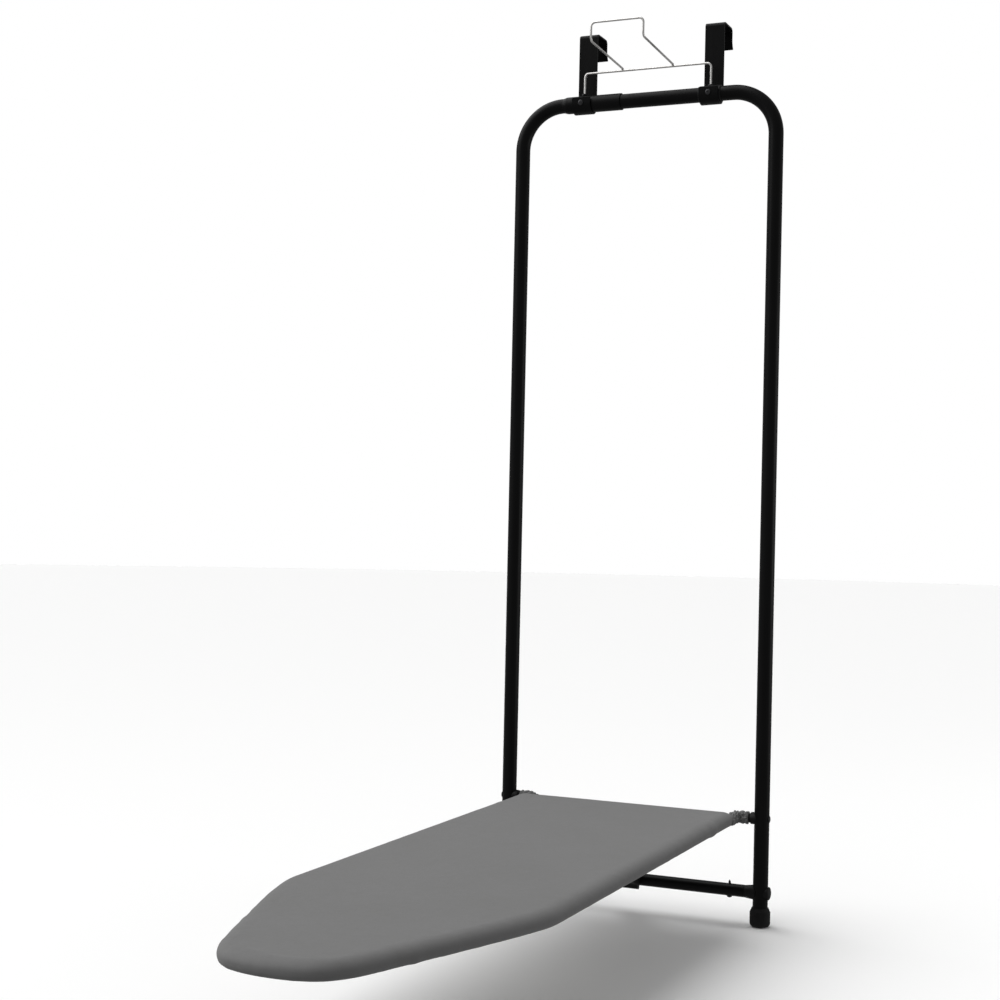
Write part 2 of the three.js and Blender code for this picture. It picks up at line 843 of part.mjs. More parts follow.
function propClip(y) {
  const grip = propWidth / 2 + gap;
  const t = 1.2;
  const top = memberBottom - gap;
  const low = -propHingeDrop - 4;
  const line = [
    [-grip - 4, low - 3], [-grip - t / 2, low], [-grip - t / 2, top - t / 2],
    [grip + t / 2, top - t / 2], [grip + t / 2, low], [grip + 4, low - 3],
  ].map(([a, b]) => new THREE.Vector2(a, b));
  const clip = frontProfile(stripShape(line, t), 16);
  clip.translate(0, y, 0);
  return cut(clip, rivetHole(0, y));
}

// ---- assembly ----
const sides = { left: -1, right: 1 };
const mirrored = (geometry, side) => {
  if (side > 0) {
    return geometry;
  }
  return geometry.rotateZ(Math.PI);
};
const lifted = (geometry, z) => geometry.translate(0, 0, z);

const assembly = new THREE.Group();

const frame = new THREE.Group();
assembly.add(frame);
const rightDrillings = tubeDrillings(1);
piece(frame, 'frame_tube_left', cut(leftTube(), ...tubeDrillings(-1), jointDrilling()), paint);
piece(frame, 'frame_tube_right', cut(rightTube(), ...rightDrillings, jointDrilling()), paint);
piece(frame, 'joint_screw', jointScrew(), steel);
piece(frame, 'hook_sleeve_right', hookSleeve(), plastic);
piece(frame, 'crossbar', crossbar(), paint);
for (const [name, side] of Object.entries(sides)) {
  addHook(frame, side);
  piece(frame, `rest_grommet_${name}`, grommet(side), plastic);
  const footMesh = piece(frame, `foot_${name}`, foot(), rubber);
  footMesh.position.x = side * uprightX;
  const place = (geometry, z) => lifted(mirrored(geometry, side), z);
  piece(frame, `crossbar_plug_${name}`, place(crossbarPlug(), crossbarHeight), plastic);
  piece(frame, `crossbar_bolt_${name}`, place(crossbarBolt(), crossbarHeight), steel);
  piece(frame, `crossbar_cap_${name}`, place(domedCap(), crossbarHeight), plastic);
  const screwMesh = piece(frame, `plug_screw_${name}`, plugScrew(), steel);
  screwMesh.position.x = side * plugScrewX;
  piece(frame, `pivot_boss_${name}`, place(pivotBoss(), pivotHeight), plastic);
  piece(frame, `pivot_bolt_${name}`, place(pivotBolt(), pivotHeight), steel);
  piece(frame, `pivot_nut_${name}`, place(pivotNut(), pivotHeight), steel);
}

const ironRest = new THREE.Group();
assembly.add(ironRest);
piece(ironRest, 'rest_base_wire', restBaseWire(), zinc);
piece(ironRest, 'rest_loop_wire', restLoopWire(), zinc);

const board = new THREE.Group();
board.position.z = pivotHeight;
assembly.add(board);
piece(board, 'board_rail', boardRail(), paint);
piece(board, 'board_rear_tube', rearTube(), paint);
const rivetPlaces = [[0], [-rivetX, rivetX], [], []];
memberPlaces.forEach((y, i) => {
  piece(board, `cross_member_${i + 1}`, crossMember(y, rivetPlaces[i]), paint);
});
piece(board, 'board_sheet', slab(railInset, sheetBottom, sheetBottom + sheetThickness), steel);
piece(board, 'board_pad', slab(padInset, padBottom, padBottom + padThickness), foam);
piece(board, 'board_cover', cover(), cloth);
for (const [name, side] of Object.entries(sides)) {
  const capMesh = piece(board, `rail_cap_${name}`, railCap(), plastic);
  capMesh.position.x = side * railX;
  piece(board, `cover_gather_${name}`, gather(side), cloth);
  const x = side * rivetX;
  const webTop = memberBottom + memberWall;
  piece(board, `bracket_rivet_${name}`, rivet(x, propHingeY, webTop, memberBottom - gap - 2), steel);
}
piece(board, 'prop_bracket', propBracket(), paint);
const pinMesh = piece(board, 'prop_hinge_pin', hingePin(), steel);
pinMesh.position.set(0, propHingeY, -propHingeDrop);
piece(board, 'prop_clip', propClip(clipY), steel);
piece(board, 'clip_rivet',
  rivet(0, clipY, memberBottom + memberWall, memberBottom - gap - 1.2), steel);

const prop = new THREE.Group();
prop.position.set(0, propHingeY, pivotHeight - propHingeDrop);
prop.rotation.x = -propAngle;
assembly.add(prop);
piece(prop, 'prop_channel', propChannel(), paint);
piece(prop, 'prop_saddle', saddle(), plastic);
piece(prop, 'saddle_rivet', saddleRivet(), steel);

// The origin is the door's top front edge, where the hooks rest.
assembly.position.set(0, -doorFace, -hookUnderside);
const group = new THREE.Group();
group.add(assembly);

export default group;
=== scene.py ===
# Ironing board that hangs over a door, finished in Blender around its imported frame.
import math
import bpy
import bmesh
from mathutils import Matrix, Vector, noise


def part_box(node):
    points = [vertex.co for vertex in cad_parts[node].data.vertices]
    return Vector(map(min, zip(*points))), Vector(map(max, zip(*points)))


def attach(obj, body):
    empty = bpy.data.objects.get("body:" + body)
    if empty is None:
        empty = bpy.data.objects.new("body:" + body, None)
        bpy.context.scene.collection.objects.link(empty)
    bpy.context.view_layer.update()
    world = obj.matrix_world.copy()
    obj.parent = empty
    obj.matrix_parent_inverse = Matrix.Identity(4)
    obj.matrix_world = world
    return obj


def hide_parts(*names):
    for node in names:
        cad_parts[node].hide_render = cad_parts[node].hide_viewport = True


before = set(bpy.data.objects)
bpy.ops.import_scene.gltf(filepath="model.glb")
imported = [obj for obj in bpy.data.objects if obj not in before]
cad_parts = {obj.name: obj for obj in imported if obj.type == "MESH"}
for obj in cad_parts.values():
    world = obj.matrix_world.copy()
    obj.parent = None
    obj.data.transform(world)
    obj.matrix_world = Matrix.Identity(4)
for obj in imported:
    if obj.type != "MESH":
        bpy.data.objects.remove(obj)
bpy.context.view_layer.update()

scene = bpy.context.scene
mm = 0.001
clearance = 0.3      # gap left between fitted pieces, in millimetres


def linked(name, bm):
    mesh = bpy.data.meshes.new(name)
    bm.to_mesh(mesh)
    bm.free()
    made = bpy.data.objects.new(name, mesh)
    scene.collection.objects.link(made)
    return made


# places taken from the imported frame, in metres
def middleOf(node):
    low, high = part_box(node)
    return (Vector(low) + Vector(high)) / 2


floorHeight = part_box("foot_left")[0][2]
tubePlane = middleOf("foot_left").y
uprightX = middleOf("foot_right").x
barHeight = middleOf("hook_sleeve_right").z
hookX = middleOf("door_hook_right").x
crossbarHeight = middleOf("crossbar").z
plugScrewX = middleOf("plug_screw_right").x
pivotHeight = middleOf("pivot_boss_right").z
coverLow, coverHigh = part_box("board_cover")
hingePlace = middleOf("prop_hinge_pin")
memberPlaces = [middleOf(f"cross_member_{i}").y for i in (1, 2, 3, 4)]
print("frame loaded:", len(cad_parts), "parts")


cameraSettings = {
    "place": (0.8545, -2.4533, -0.7352),
    "azimuth": 23.951,
    "elevation": -0.343,
    "roll": 1.244,
    "lens": 61.33,
    "sensorWidth": 36,
    "clip": (0.1, 60),
}


def placeCamera(settings):
    data = bpy.data.cameras.new("studioCamera")
    data.lens = settings["lens"]
    data.sensor_width = settings["sensorWidth"]
    data.clip_start, data.clip_end = settings["clip"]
    camera = bpy.data.objects.new("studioCamera", data)
    scene.collection.objects.link(camera)
    azimuth, elevation = math.radians(settings["azimuth"]), math.radians(settings["elevation"])
    roll = math.radians(settings["roll"])
    forward = Vector((-math.sin(azimuth) * math.cos(elevation),
                      math.cos(azimuth) * math.cos(elevation), -math.sin(elevation)))
    right = Vector((math.cos(azimuth), math.sin(azimuth), 0))
    up = right.cross(forward)
    across = right * math.cos(roll) + up * math.sin(roll)
    upward = up * math.cos(roll) - right * math.sin(roll)
    turn = Matrix((across, upward, -forward)).transposed().to_4x4()
    camera.matrix_world = Matrix.Translation(settings["place"]) @ turn
    scene.camera = camera


studio = {
    "floorRadius": 14.0, "floorGap": 0.5,
    "floorColour": (0.95, 0.95, 0.948, 1), "floorRoughness": 0.9,
    "surroundRadius": 30.0,
    "worldColour": (1.0, 1.0, 1.0, 1),
    "worldStrength": 0.36,
    "skylightStrength": 2.6,
    "skylightSpread": 75,
    "skylightFrom": (-0.7, -0.25, 1.0),
    "softboxes": [
        # name, place, aim, size, watts
        ("leftSoftbox", (-2.4, -2.2, 0.6), (0, -0.3, -0.7), 1.4, 7),
        ("rightSoftbox", (2.4, 0.7, -0.7), (0.15, -0.4, -1.18), 1.2, 9),
    ],
}


def placeLamp(data, place, facing):
    lamp = bpy.data.objects.new(data.name, data)
    lamp.location = place
    lamp.rotation_euler = Vector(facing).to_track_quat("-Z", "Y").to_euler()
    scene.collection.objects.link(lamp)


def makeStudio(settings):
    world = bpy.data.worlds.new("studioWorld")
    world.use_nodes = True
    background = world.node_tree.nodes["Background"]
    background.inputs["Color"].default_value = settings["worldColour"]
    background.inputs["Strength"].default_value = settings["worldStrength"]
    scene.world = world
    data = bpy.data.lights.new("skylight", "SUN")
    data.energy = settings["skylightStrength"]
    data.angle = math.radians(settings["skylightSpread"])
    placeLamp(data, (0, 0, 0), -Vector(settings["skylightFrom"]))
    for name, place, aim, size, watts in settings["softboxes"]:
        data = bpy.data.lights.new(name, "AREA")
        data.size = size
        data.energy = watts
        placeLamp(data, place, Vector(aim) - Vector(place))
    bm = bmesh.new()
    bmesh.ops.create_circle(bm, cap_ends=True, segments=96, radius=settings["floorRadius"])
    floor = linked("studioFloor", bm)
    floor.data.transform(Matrix.Translation((0, 0, floorHeight - settings["floorGap"] * mm)))
    material = bpy.data.materials.new("paleFloor")
    material.use_nodes = True
    nodes, links = material.node_tree.nodes, material.node_tree.links
    shader, output = nodes["Principled BSDF"], nodes["Material Output"]
    shader.inputs["Base Color"].default_value = settings["floorColour"]
    shader.inputs["Roughness"].default_value = settings["floorRoughness"]
    # the floor is seen from above only, so the underside of the board can be looked at
    side = nodes.new("ShaderNodeNewGeometry")
    clear = nodes.new("ShaderNodeBsdfTransparent")
    mix = nodes.new("ShaderNodeMixShader")
    links.new(side.outputs["Backfacing"], mix.inputs["Fac"])
    links.new(shader.outputs["BSDF"], mix.inputs[1])
    links.new(clear.outputs["BSDF"], mix.inputs[2])
    links.new(mix.outputs["Shader"], output.inputs["Surface"])
    floor.data.materials.append(material)
    # a white surround behind everything, which gives no light and no reflection
    bm = bmesh.new()
    bmesh.ops.create_icosphere(bm, subdivisions=4, radius=settings["surroundRadius"])
    surround = linked("studioSurround", bm)
    material = bpy.data.materials.new("whiteSurround")
    material.use_nodes = True
    nodes = material.node_tree.nodes
    sockets = nodes["Principled BSDF"].inputs
    sockets["Base Color"].default_value = (0, 0, 0, 1)
    sockets["Specular IOR Level"].default_value = 0
    sockets["Emission Color"].default_value = (1, 1, 1, 1)
    sockets["Emission Strength"].default_value = 1.0
    surround.data.materials.append(material)
    surround.visible_diffuse = surround.visible_glossy = False
    surround.visible_transmission = surround.visible_shadow = False
    # the floor throws little light back up, as a dark one would
    floor.visible_diffuse = floor.visible_glossy = False


placeCamera(cameraSettings)
makeStudio(studio)
scene.view_settings.view_transform = "Standard"
print("camera and studio placed")


# a material whose nodes are added by short calls
class Finish:
    def __init__(self, name, colour, roughness, metallic=0.0):
        self.material = bpy.data.materials.new(name)
        self.material.use_nodes = True
        self.nodes = self.material.node_tree.nodes
        self.links = self.material.node_tree.links
        self.shader = self.nodes["Principled BSDF"]
        self.shader.inputs["Base Color"].default_value = (*colour, 1)
        self.shader.inputs["Roughness"].default_value = roughness
        self.shader.inputs["Metallic"].default_value = metallic
        self.material.diffuse_color = (*colour, 1)
        self.coordinates = self.nodes.new("ShaderNodeTexCoord")

    def add(self, kind, inputs=None, **settings):
        node = self.nodes.new(kind)
        for key, value in settings.items():
            setattr(node, key, value)
        for key, value in (inputs or {}).items():
            if isinstance(value, bpy.types.NodeSocket):
                self.links.new(value, node.inputs[key])
            else:
                node.inputs[key].default_value = value
        return node

    def mapped(self, scale, space="Object"):
        return self.add("ShaderNodeMapping", {
            "Vector": self.coordinates.outputs[space], "Scale": scale}).outputs["Vector"]

    def noise(self, scale, detail=3.0, vector=None, roughness=0.5):
        return self.add("ShaderNodeTexNoise", {
            "Vector": vector or self.coordinates.outputs["Object"],
            "Scale": scale, "Detail": detail, "Roughness": roughness,
        }).outputs["Fac"]

    def ranged(self, value, low, high, fromLow=0.25, fromHigh=0.75):
        return self.add("ShaderNodeMapRange", {
            "Value": value, "From Min": fromLow, "From Max": fromHigh,
            "To Min": low, "To Max": high,
        }).outputs["Result"]

    def blend(self, factor, first, second):
        ramp = self.add("ShaderNodeValToRGB", {"Fac": factor})
        ramp.color_ramp.elements[0].color = (*first, 1)
        ramp.color_ramp.elements[1].color = (*second, 1)
        ramp.color_ramp.elements[0].position = 0.25
        ramp.color_ramp.elements[1].position = 0.75
        return ramp.outputs["Color"]

    def maths(self, operation, first, second):
        return self.add("ShaderNodeMath", {0: first, 1: second}, operation=operation).outputs[0]

    def colour(self, socket):
        self.links.new(socket, self.shader.inputs["Base Color"])

    def rough(self, socket):
        self.links.new(socket, self.shader.inputs["Roughness"])

    # each layer is (height, strength, distance in metres)
    def bump(self, layers):
        normal = None
        for height, strength, distance in layers:
            inputs = {"Height": height, "Strength": strength, "Distance": distance}
            if normal:
                inputs["Normal"] = normal
            normal = self.add("ShaderNodeBump", inputs).outputs["Normal"]
        self.links.new(normal, self.shader.inputs["Normal"])


# colour and roughness drift between two values; a grain is (scale, detail, stretch, roughness)
# or "cells", and a bump is (grain, strength, distance in metres)
def plainFinish(name, colour, roughness, tint, drift, bumps, metallic=0.0, specular=None):
    f = Finish(name, colour, roughness, metallic)
    if specular is not None:
        f.shader.inputs["Specular IOR Level"].default_value = specular

    def grain(scale, detail=3, stretch=None, rough=0.5):
        if detail == "cells":
            return f.add("ShaderNodeTexVoronoi", {
                "Vector": f.coordinates.outputs["Object"], "Scale": scale}).outputs["Distance"]
        return f.noise(scale, detail, f.mapped(stretch) if stretch else None, rough)

    f.colour(f.blend(grain(*tint[0]), *tint[1:]))
    f.rough(f.ranged(grain(*drift[0]), *drift[1:]))
    f.bump([(grain(*shape), strength, distance) for shape, strength, distance in bumps])
    return f.material


def blackPowderCoat():
    return plainFinish(
        "blackPowderCoat", (0.0028, 0.0028, 0.003), 0.36, specular=0.1,
        tint=((26, 4, (1, 1, 0.25)), (0.002, 0.002, 0.0021), (0.0038, 0.0038, 0.004)),
        drift=((60, 5, (1, 1, 0.12)), 0.31, 0.43),
        bumps=[((1500, 2), 0.12, 0.0001), ((330, 2), 0.1, 0.0002)])


def satinPlastic():
    return plainFinish(
        "satinBlackPlastic", (0.004, 0.004, 0.0042), 0.5, specular=0.16,
        tint=((70, 3), (0.0032, 0.0032, 0.0033), (0.006, 0.006, 0.0063)),
        drift=((180, 3), 0.44, 0.58), bumps=[((1900.0, "cells"), 0.16, 0.00008)])


def mattRubber():
    f = Finish("mattBlackRubber", (0.007, 0.007, 0.007), 0.82)
    f.shader.inputs["Specular IOR Level"].default_value = 0.25
    dust = f.ranged(f.noise(240, 6, roughness=0.7), 0, 1, 0.5, 0.82)
    f.colour(f.blend(dust, (0.0055, 0.0055, 0.0055), (0.016, 0.0158, 0.015)))
    f.rough(f.ranged(f.noise(90, 3), 0.74, 0.9))
    f.bump([(f.noise(900, 4), 0.3, 0.00015)])
    return f.material


def zincPlate():
    return plainFinish(
        "brightZincPlate", (0.62, 0.61, 0.595), 0.3, metallic=1.0,
        tint=((160, 4), (0.52, 0.51, 0.49), (0.74, 0.73, 0.72)),
        drift=((420, 4), 0.22, 0.42), bumps=[((1400, 3), 0.15, 0.0001)])


def darkZincFixing():
    return plainFinish(
        "darkZincFixing", (0.03, 0.03, 0.032), 0.42, metallic=0.6,
        tint=((420, 4), (0.018, 0.018, 0.019), (0.05, 0.05, 0.053)),
        drift=((700, 4), 0.3, 0.5), bumps=[((1700, 3), 0.2, 0.00008)])


def oiledSpring():
    rolled = (120, 4, (1, 14, 1))
    return plainFinish(
        "oiledSpringSteel", (0.3, 0.3, 0.31), 0.34, metallic=0.95,
        tint=(rolled, (0.22, 0.22, 0.23), (0.38, 0.38, 0.4)),
        drift=((500, 3), 0.26, 0.44), bumps=[(rolled, 0.1, 0.0001)])


def silverMeshPaint():
    return plainFinish(
        "silverMeshPaint", (0.46, 0.47, 0.48), 0.42, metallic=0.55,
        tint=((55, 4), (0.4, 0.41, 0.42), (0.54, 0.55, 0.56)),
        drift=((800, 4), 0.34, 0.52), bumps=[((1200, 3), 0.3, 0.00012)])


clothWeave = {
    "threadPitch": 0.62 * mm,
    "shade": 0.142,
    "mottle": 0.009,
}


def greyCottonCover(values):
    shade, mottle = values["shade"], values["mottle"]
    f = Finish("greyCottonCover", (shade, shade, shade), 0.78)
    f.shader.inputs["Sheen Weight"].default_value = 0.12
    f.shader.inputs["Sheen Roughness"].default_value = 0.5
    f.shader.inputs["Specular IOR Level"].default_value = 0.3
    surface = f.coordinates.outputs["UV"]
    bands = 2 * math.pi / 20 / values["threadPitch"] / 2
    warp, weft = [f.add("ShaderNodeTexWave", {
        "Vector": surface, "Scale": bands, "Distortion": 0.4, "Detail": 1.0, "Detail Scale": 0.3,
    }, wave_type="BANDS", bands_direction=way).outputs["Fac"] for way in "XY"]
    over = f.add("ShaderNodeTexChecker", {
        "Vector": surface, "Scale": 1 / values["threadPitch"]}).outputs["Fac"]
    weave = f.add("ShaderNodeMix", {"Factor": over, 2: warp, 3: weft}).outputs[0]
    slubs = [f.noise(900, 3, f.mapped(stretch, "UV")) for stretch in ((1, 0.06, 1), (0.06, 1, 1))]
    thread = f.maths("ADD", *[f.ranged(slub, -0.5, 0.5) for slub in slubs])
    cloud = f.ranged(f.noise(9, 5, surface), -1.0, 1.0)
    soft = f.ranged(f.noise(70, 4, surface), -0.8, 0.8)
    tone = f.maths("ADD", f.maths("MULTIPLY", thread, 0.12),
                   f.maths("MULTIPLY", f.maths("ADD", cloud, soft), 0.16))
    tone = f.maths("ADD", tone, f.maths("MULTIPLY", weave, 0.2))
    low, high = shade - mottle, shade + mottle
    f.colour(f.blend(f.ranged(tone, 0.2, 0.8, -0.3, 0.5),
                     (low, low, low * 0.985), (high, high, high * 1.005)))
    f.rough(f.ranged(f.noise(300, 3, surface), 0.72, 0.86))
    f.bump([(weave, 0.35, 0.00012), (thread, 0.25, 0.0001), (soft, 0.25, 0.0004)])
    return f.material


def feltPad():
    fibre = (520, 6, (1, 0.3, 1), 0.75)
    return plainFinish(
        "offWhiteFelt", (0.66, 0.64, 0.58), 0.95,
        tint=(fibre, (0.56, 0.54, 0.48), (0.72, 0.7, 0.64)), drift=(fibre, 0.88, 0.98),
        bumps=[(fibre, 0.6, 0.0006), ((60, 3), 0.4, 0.001)])


def blackFoam():
    cells = (1300.0, "cells")
    return plainFinish(
        "blackCellFoam", (0.03, 0.03, 0.03), 0.92,
        tint=(cells, (0.018, 0.018, 0.018), (0.05, 0.05, 0.05)),
        drift=((200, 3), 0.85, 0.97), bumps=[(cells, 0.7, 0.0004)])


def greyThread():
    f = Finish("greyThread", (0.21, 0.21, 0.205), 0.75)
    twist = f.add("ShaderNodeTexWave", {
        "Vector": f.coordinates.outputs["Object"], "Scale": 900.0, "Distortion": 1.5,
    }, bands_direction="DIAGONAL").outputs["Fac"]
    f.colour(f.blend(twist, (0.17, 0.17, 0.165), (0.25, 0.25, 0.245)))
    f.rough(f.ranged(f.noise(600, 2), 0.68, 0.84))
    f.bump([(twist, 0.5, 0.0001)])
    return f.material


# finish of a piece, and the record's slot that it stands for
finishes = {
    "paint": (blackPowderCoat(), "black_paint"),
    "plastic": (satinPlastic(), "black_plastic"),
    "rubber": (mattRubber(), "black_rubber"),
    "zinc": (zincPlate(), "zinc_wire"),
    "fixing": (darkZincFixing(), "fixing_steel"),
    "spring": (oiledSpring(), "spring_steel"),
    "meshPaint": (silverMeshPaint(), "steel_mesh"),
    "cloth": (greyCottonCover(clothWeave), "grey_cloth"),
    "thread": (greyThread(), "grey_cloth"),
    "felt": (feltPad(), "pad_felt"),
    "foam": (blackFoam(), "door_foam"),
}
print("finishes made:", len(finishes))


def softenEdges(made, width, sharp):
    edges = made.modifiers.new("softEdges", "BEVEL")
    edges.width = width
    edges.segments = 2
    edges.limit_method = "ANGLE"
    edges.angle_limit = math.radians(sharp)
    edges.harden_normals = True


def markSharp(made, degrees):
    made.data.set_sharp_from_angle(angle=math.radians(degrees))


def newObject(name, bm, look, sharp=38, bevel=0.0, weld=True):
    if weld:
        bmesh.ops.remove_doubles(bm, verts=bm.verts, dist=1e-6)
        bmesh.ops.recalc_face_normals(bm, faces=bm.faces)
    made = linked(name, bm)
    mesh = made.data
    mesh.shade_smooth()
    mesh.materials.append(finishes[look][0])
    if bevel:
        softenEdges(made, bevel, sharp)
    elif sharp:
        markSharp(made, sharp)
    return made


def assign(piece, body, look, *nodes):
    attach(piece, body)
    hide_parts(*nodes)


# the corner points with each inner corner turned into an arc
def filleted(corners, radius, steps):
    points = [Vector(corners[0])]
    for before, corner, after in zip(corners, corners[1:], corners[2:]):
        corner = Vector(corner)
        back, onward = (Vector(before) - corner).normalized(), (Vector(after) - corner).normalized()
        turn = math.pi - back.angle(onward)
        centre = corner + (back + onward).normalized() * radius / math.cos(turn / 2)
        start = corner + back * radius * math.tan(turn / 2) - centre
        axis = onward.cross(back).normalized()
        for k in range(steps + 1):
            points.append(centre + Matrix.Rotation(turn * k / steps, 3, axis) @ start)
    points.append(Vector(corners[-1]))
    return points


# a round tube or wire along points; bores makes it a tube with a wall
def sweep(bm, points, radii, bores=None, sides=40):
    count = len(points)
    radii = radii if isinstance(radii, list) else [radii] * count
    tangents = [(points[min(i + 1, count - 1)] - points[max(i - 1, 0)]).normalized()
                for i in range(count)]
    normal = tangents[0].orthogonal().normalized()
    frames = []
    for i, tangent in enumerate(tangents):
        if i:
            normal = tangents[i - 1].rotation_difference(tangent) @ normal
        frames.append((normal.copy(), tangent.cross(normal)))

    def ring(i, radius):
        first, second = frames[i]
        return [bm.verts.new(points[i] + (first * math.cos(a) + second * math.sin(a)) * radius)
                for a in (2 * math.pi * k / sides for k in range(sides))]

    def bridge(one, two):
        for k in range(sides):
            bm.faces.new((one[k], one[(k + 1) % sides], two[(k + 1) % sides], two[k]))

    outer = [ring(i, radii[i]) for i in range(count)]
    for one, two in zip(outer, outer[1:]):
        bridge(one, two)
    if bores:
        bores = bores if isinstance(bores, list) else [bores] * count
        inner = [ring(i, bores[i]) for i in range(count)]
        for one, two in zip(inner, inner[1:]):
            bridge(two, one)
        bridge(inner[0], outer[0])
        bridge(outer[-1], inner[-1])
    else:
        bm.faces.new(outer[0])
        bm.faces.new(list(reversed(outer[-1])))


alongX = Matrix.Rotation(math.pi / 2, 4, "Y")
alongY = Matrix.Rotation(-math.pi / 2, 4, "X")
alongMinusY = Matrix.Rotation(math.pi / 2, 4, "X")
alongZ = Matrix.Identity(4)


# spins (radius, height) points in millimetres round an axis, poles closed
def turned(bm, profile, axis=alongZ, place=(0, 0, 0), sides=48):
    setting = Matrix.Translation(place) @ axis
    rings = []
    for radius, height in profile:
        if radius < 1e-6:
            rings.append([bm.verts.new(setting @ Vector((0, 0, height * mm)))])
        else:
            rings.append([bm.verts.new(setting @ Vector((
                radius * mm * math.cos(2 * math.pi * k / sides),
                radius * mm * math.sin(2 * math.pi * k / sides), height * mm)))
                for k in range(sides)])
    for one, two in zip(rings, rings[1:]):
        for k in range(sides):
            corners = [one[k % len(one)], one[(k + 1) % len(one)],
                       two[(k + 1) % len(two)], two[k % len(two)]]
            unique = list(dict.fromkeys(corners))
            if len(unique) > 2:
                bm.faces.new(unique)


def turnedPart(name, look, profile, axis=None, place=(0, 0, 0), sides=48, **style):
    bm = bmesh.new()
    turned(bm, profile, axis or alongZ, place, sides)
    return newObject(name, bm, look, **style)


# a closed flat shape pulled along one axis; shape is in millimetres, low and high in metres
def prism(bm, shape, low, high, axis):
    def corner(point, level):
        first, second = point[0] * mm, point[1] * mm
        return Vector((level, first, second)) if axis == "X" else Vector((first, level, second))

    ends = [[bm.verts.new(corner(p, level)) for p in shape] for level in (low, high)]
    for i in range(len(shape)):
        j = (i + 1) % len(shape)
        bm.faces.new((ends[0][i], ends[0][j], ends[1][j], ends[1][i]))
    bm.faces.new(ends[0])
    bm.faces.new(list(reversed(ends[1])))


# the outline of a strip of one thickness along a line of 2-D points
def strap(line, thickness):
    over, under = [], []
    for i, point in enumerate(line):
        before, after = line[max(i - 1, 0)], line[min(i + 1, len(line) - 1)]
        along = (Vector(after) - Vector(before)).normalized()
        normal = Vector((-along.y, along.x)) * thickness / 2
        over.append(Vector(point) + normal)
        under.append(Vector(point) - normal)
    return over + under[::-1]


def sweptPart(name, look, points, radii, bores=None, sides=40, **style):
    bm = bmesh.new()
    sweep(bm, points, radii, bores, sides)
    return newObject(name, bm, look, **style)


def prismPart(name, look, shape, low, high, axis, **style):
    bm = bmesh.new()
    prism(bm, shape, low, high, axis)
    return newObject(name, bm, look, **style)


# applies the modifiers of an object for good
def plainMesh(made):
    graph = bpy.context.evaluated_depsgraph_get()
    mesh = bpy.data.meshes.new_from_object(made.evaluated_get(graph), depsgraph=graph)
    old = made.data
    made.modifiers.clear()
    made.data = mesh
    mesh.name = old.name
    bpy.data.meshes.remove(old)


def cutAway(made, bm, useSelf=False):
    tool = linked("cutter", bm)
    away = made.modifiers.new("cut", "BOOLEAN")
    away.operation = "DIFFERENCE"
    away.solver = "EXACT"
    away.use_self = useSelf
    away.object = tool
    plainMesh(made)
    bpy.data.objects.remove(tool)


# cuts round holes; each cutter is (from, to, radius) in metres
def carve(made, *cutters):
    for start, end, radius in cutters:
        bm = bmesh.new()
        sweep(bm, [Vector(start), Vector(end)], radius, sides=48)
        bmesh.ops.recalc_face_normals(bm, faces=bm.faces)
        cutAway(made, bm)
    made.data.shade_smooth()


# presses a cross slot for a screwdriver into a head
def crossRecess(made, place, axis, size, depth):
    bm = bmesh.new()
    for turn in (0, math.pi / 2):
        bar = bmesh.ops.create_cube(bm, size=1)["verts"]
        bmesh.ops.transform(bm, verts=bar, matrix=(
            Matrix.Translation(place) @ axis @ Matrix.Rotation(turn, 4, "Z")
            @ Matrix.Diagonal((size, size * 0.26, depth, 1))))
    cutAway(made, bm, useSelf=True)


def newTree(name, inputs):
    tree = bpy.data.node_groups.new(name, "GeometryNodeTree")
    sockets = tree.interface
    sockets.new_socket(name="Geometry", in_out="INPUT", socket_type="NodeSocketGeometry")
    for label, kind, value in inputs:
        socket = sockets.new_socket(name=label, in_out="INPUT", socket_type=f"NodeSocket{kind}")
        if value is not None:
            socket.default_value = value
    sockets.new_socket(name="Geometry", in_out="OUTPUT", socket_type="NodeSocketGeometry")
    return tree, tree.nodes.new("NodeGroupInput"), tree.nodes.new("NodeGroupOutput")


def treeNode(tree, kind, inputs=None, **settings):
    node = tree.nodes.new(kind)
    for key, value in settings.items():
        setattr(node, key, value)
    for key, value in (inputs or {}).items():
        if isinstance(value, bpy.types.NodeSocket):
            tree.links.new(value, node.inputs[key])
        else:
            node.inputs[key].default_value = value
    return node


def endTree(tree, given, output, geometry):
    real = treeNode(tree, "GeometryNodeRealizeInstances", {"Geometry": geometry})
    painted = treeNode(tree, "GeometryNodeSetMaterial", {
        "Geometry": real.outputs["Geometry"], "Material": given.outputs["Material"]})
    tree.links.new(painted.outputs["Geometry"], output.inputs["Geometry"])
    return tree


# runs a tree on a base object and keeps the result as a plain mesh
def grow(base, tree, values, name):
    maker = base.modifiers.new(tree.name, "NODES")
    maker.node_group = tree
    for item in tree.interface.items_tree:
        if item.in_out == "INPUT" and item.name in values:
            maker[item.identifier] = values[item.name]
    graph = bpy.context.evaluated_depsgraph_get()
    mesh = bpy.data.meshes.new_from_object(base.evaluated_get(graph), depsgraph=graph)
    mesh.name = name
    bpy.data.objects.remove(base)
    made = bpy.data.objects.new(name, mesh)
    scene.collection.objects.link(made)
    return made


def pointsObject(places, facings):
    mesh = bpy.data.meshes.new("places")
    mesh.from_pydata([tuple(p) for p in places], [], [])
    facing = mesh.attributes.new("facing", "FLOAT_VECTOR", "POINT")
    for i, turn in enumerate(facings):
        facing.data[i].vector = turn
    base = bpy.data.objects.new("places", mesh)
    scene.collection.objects.link(base)
    return base


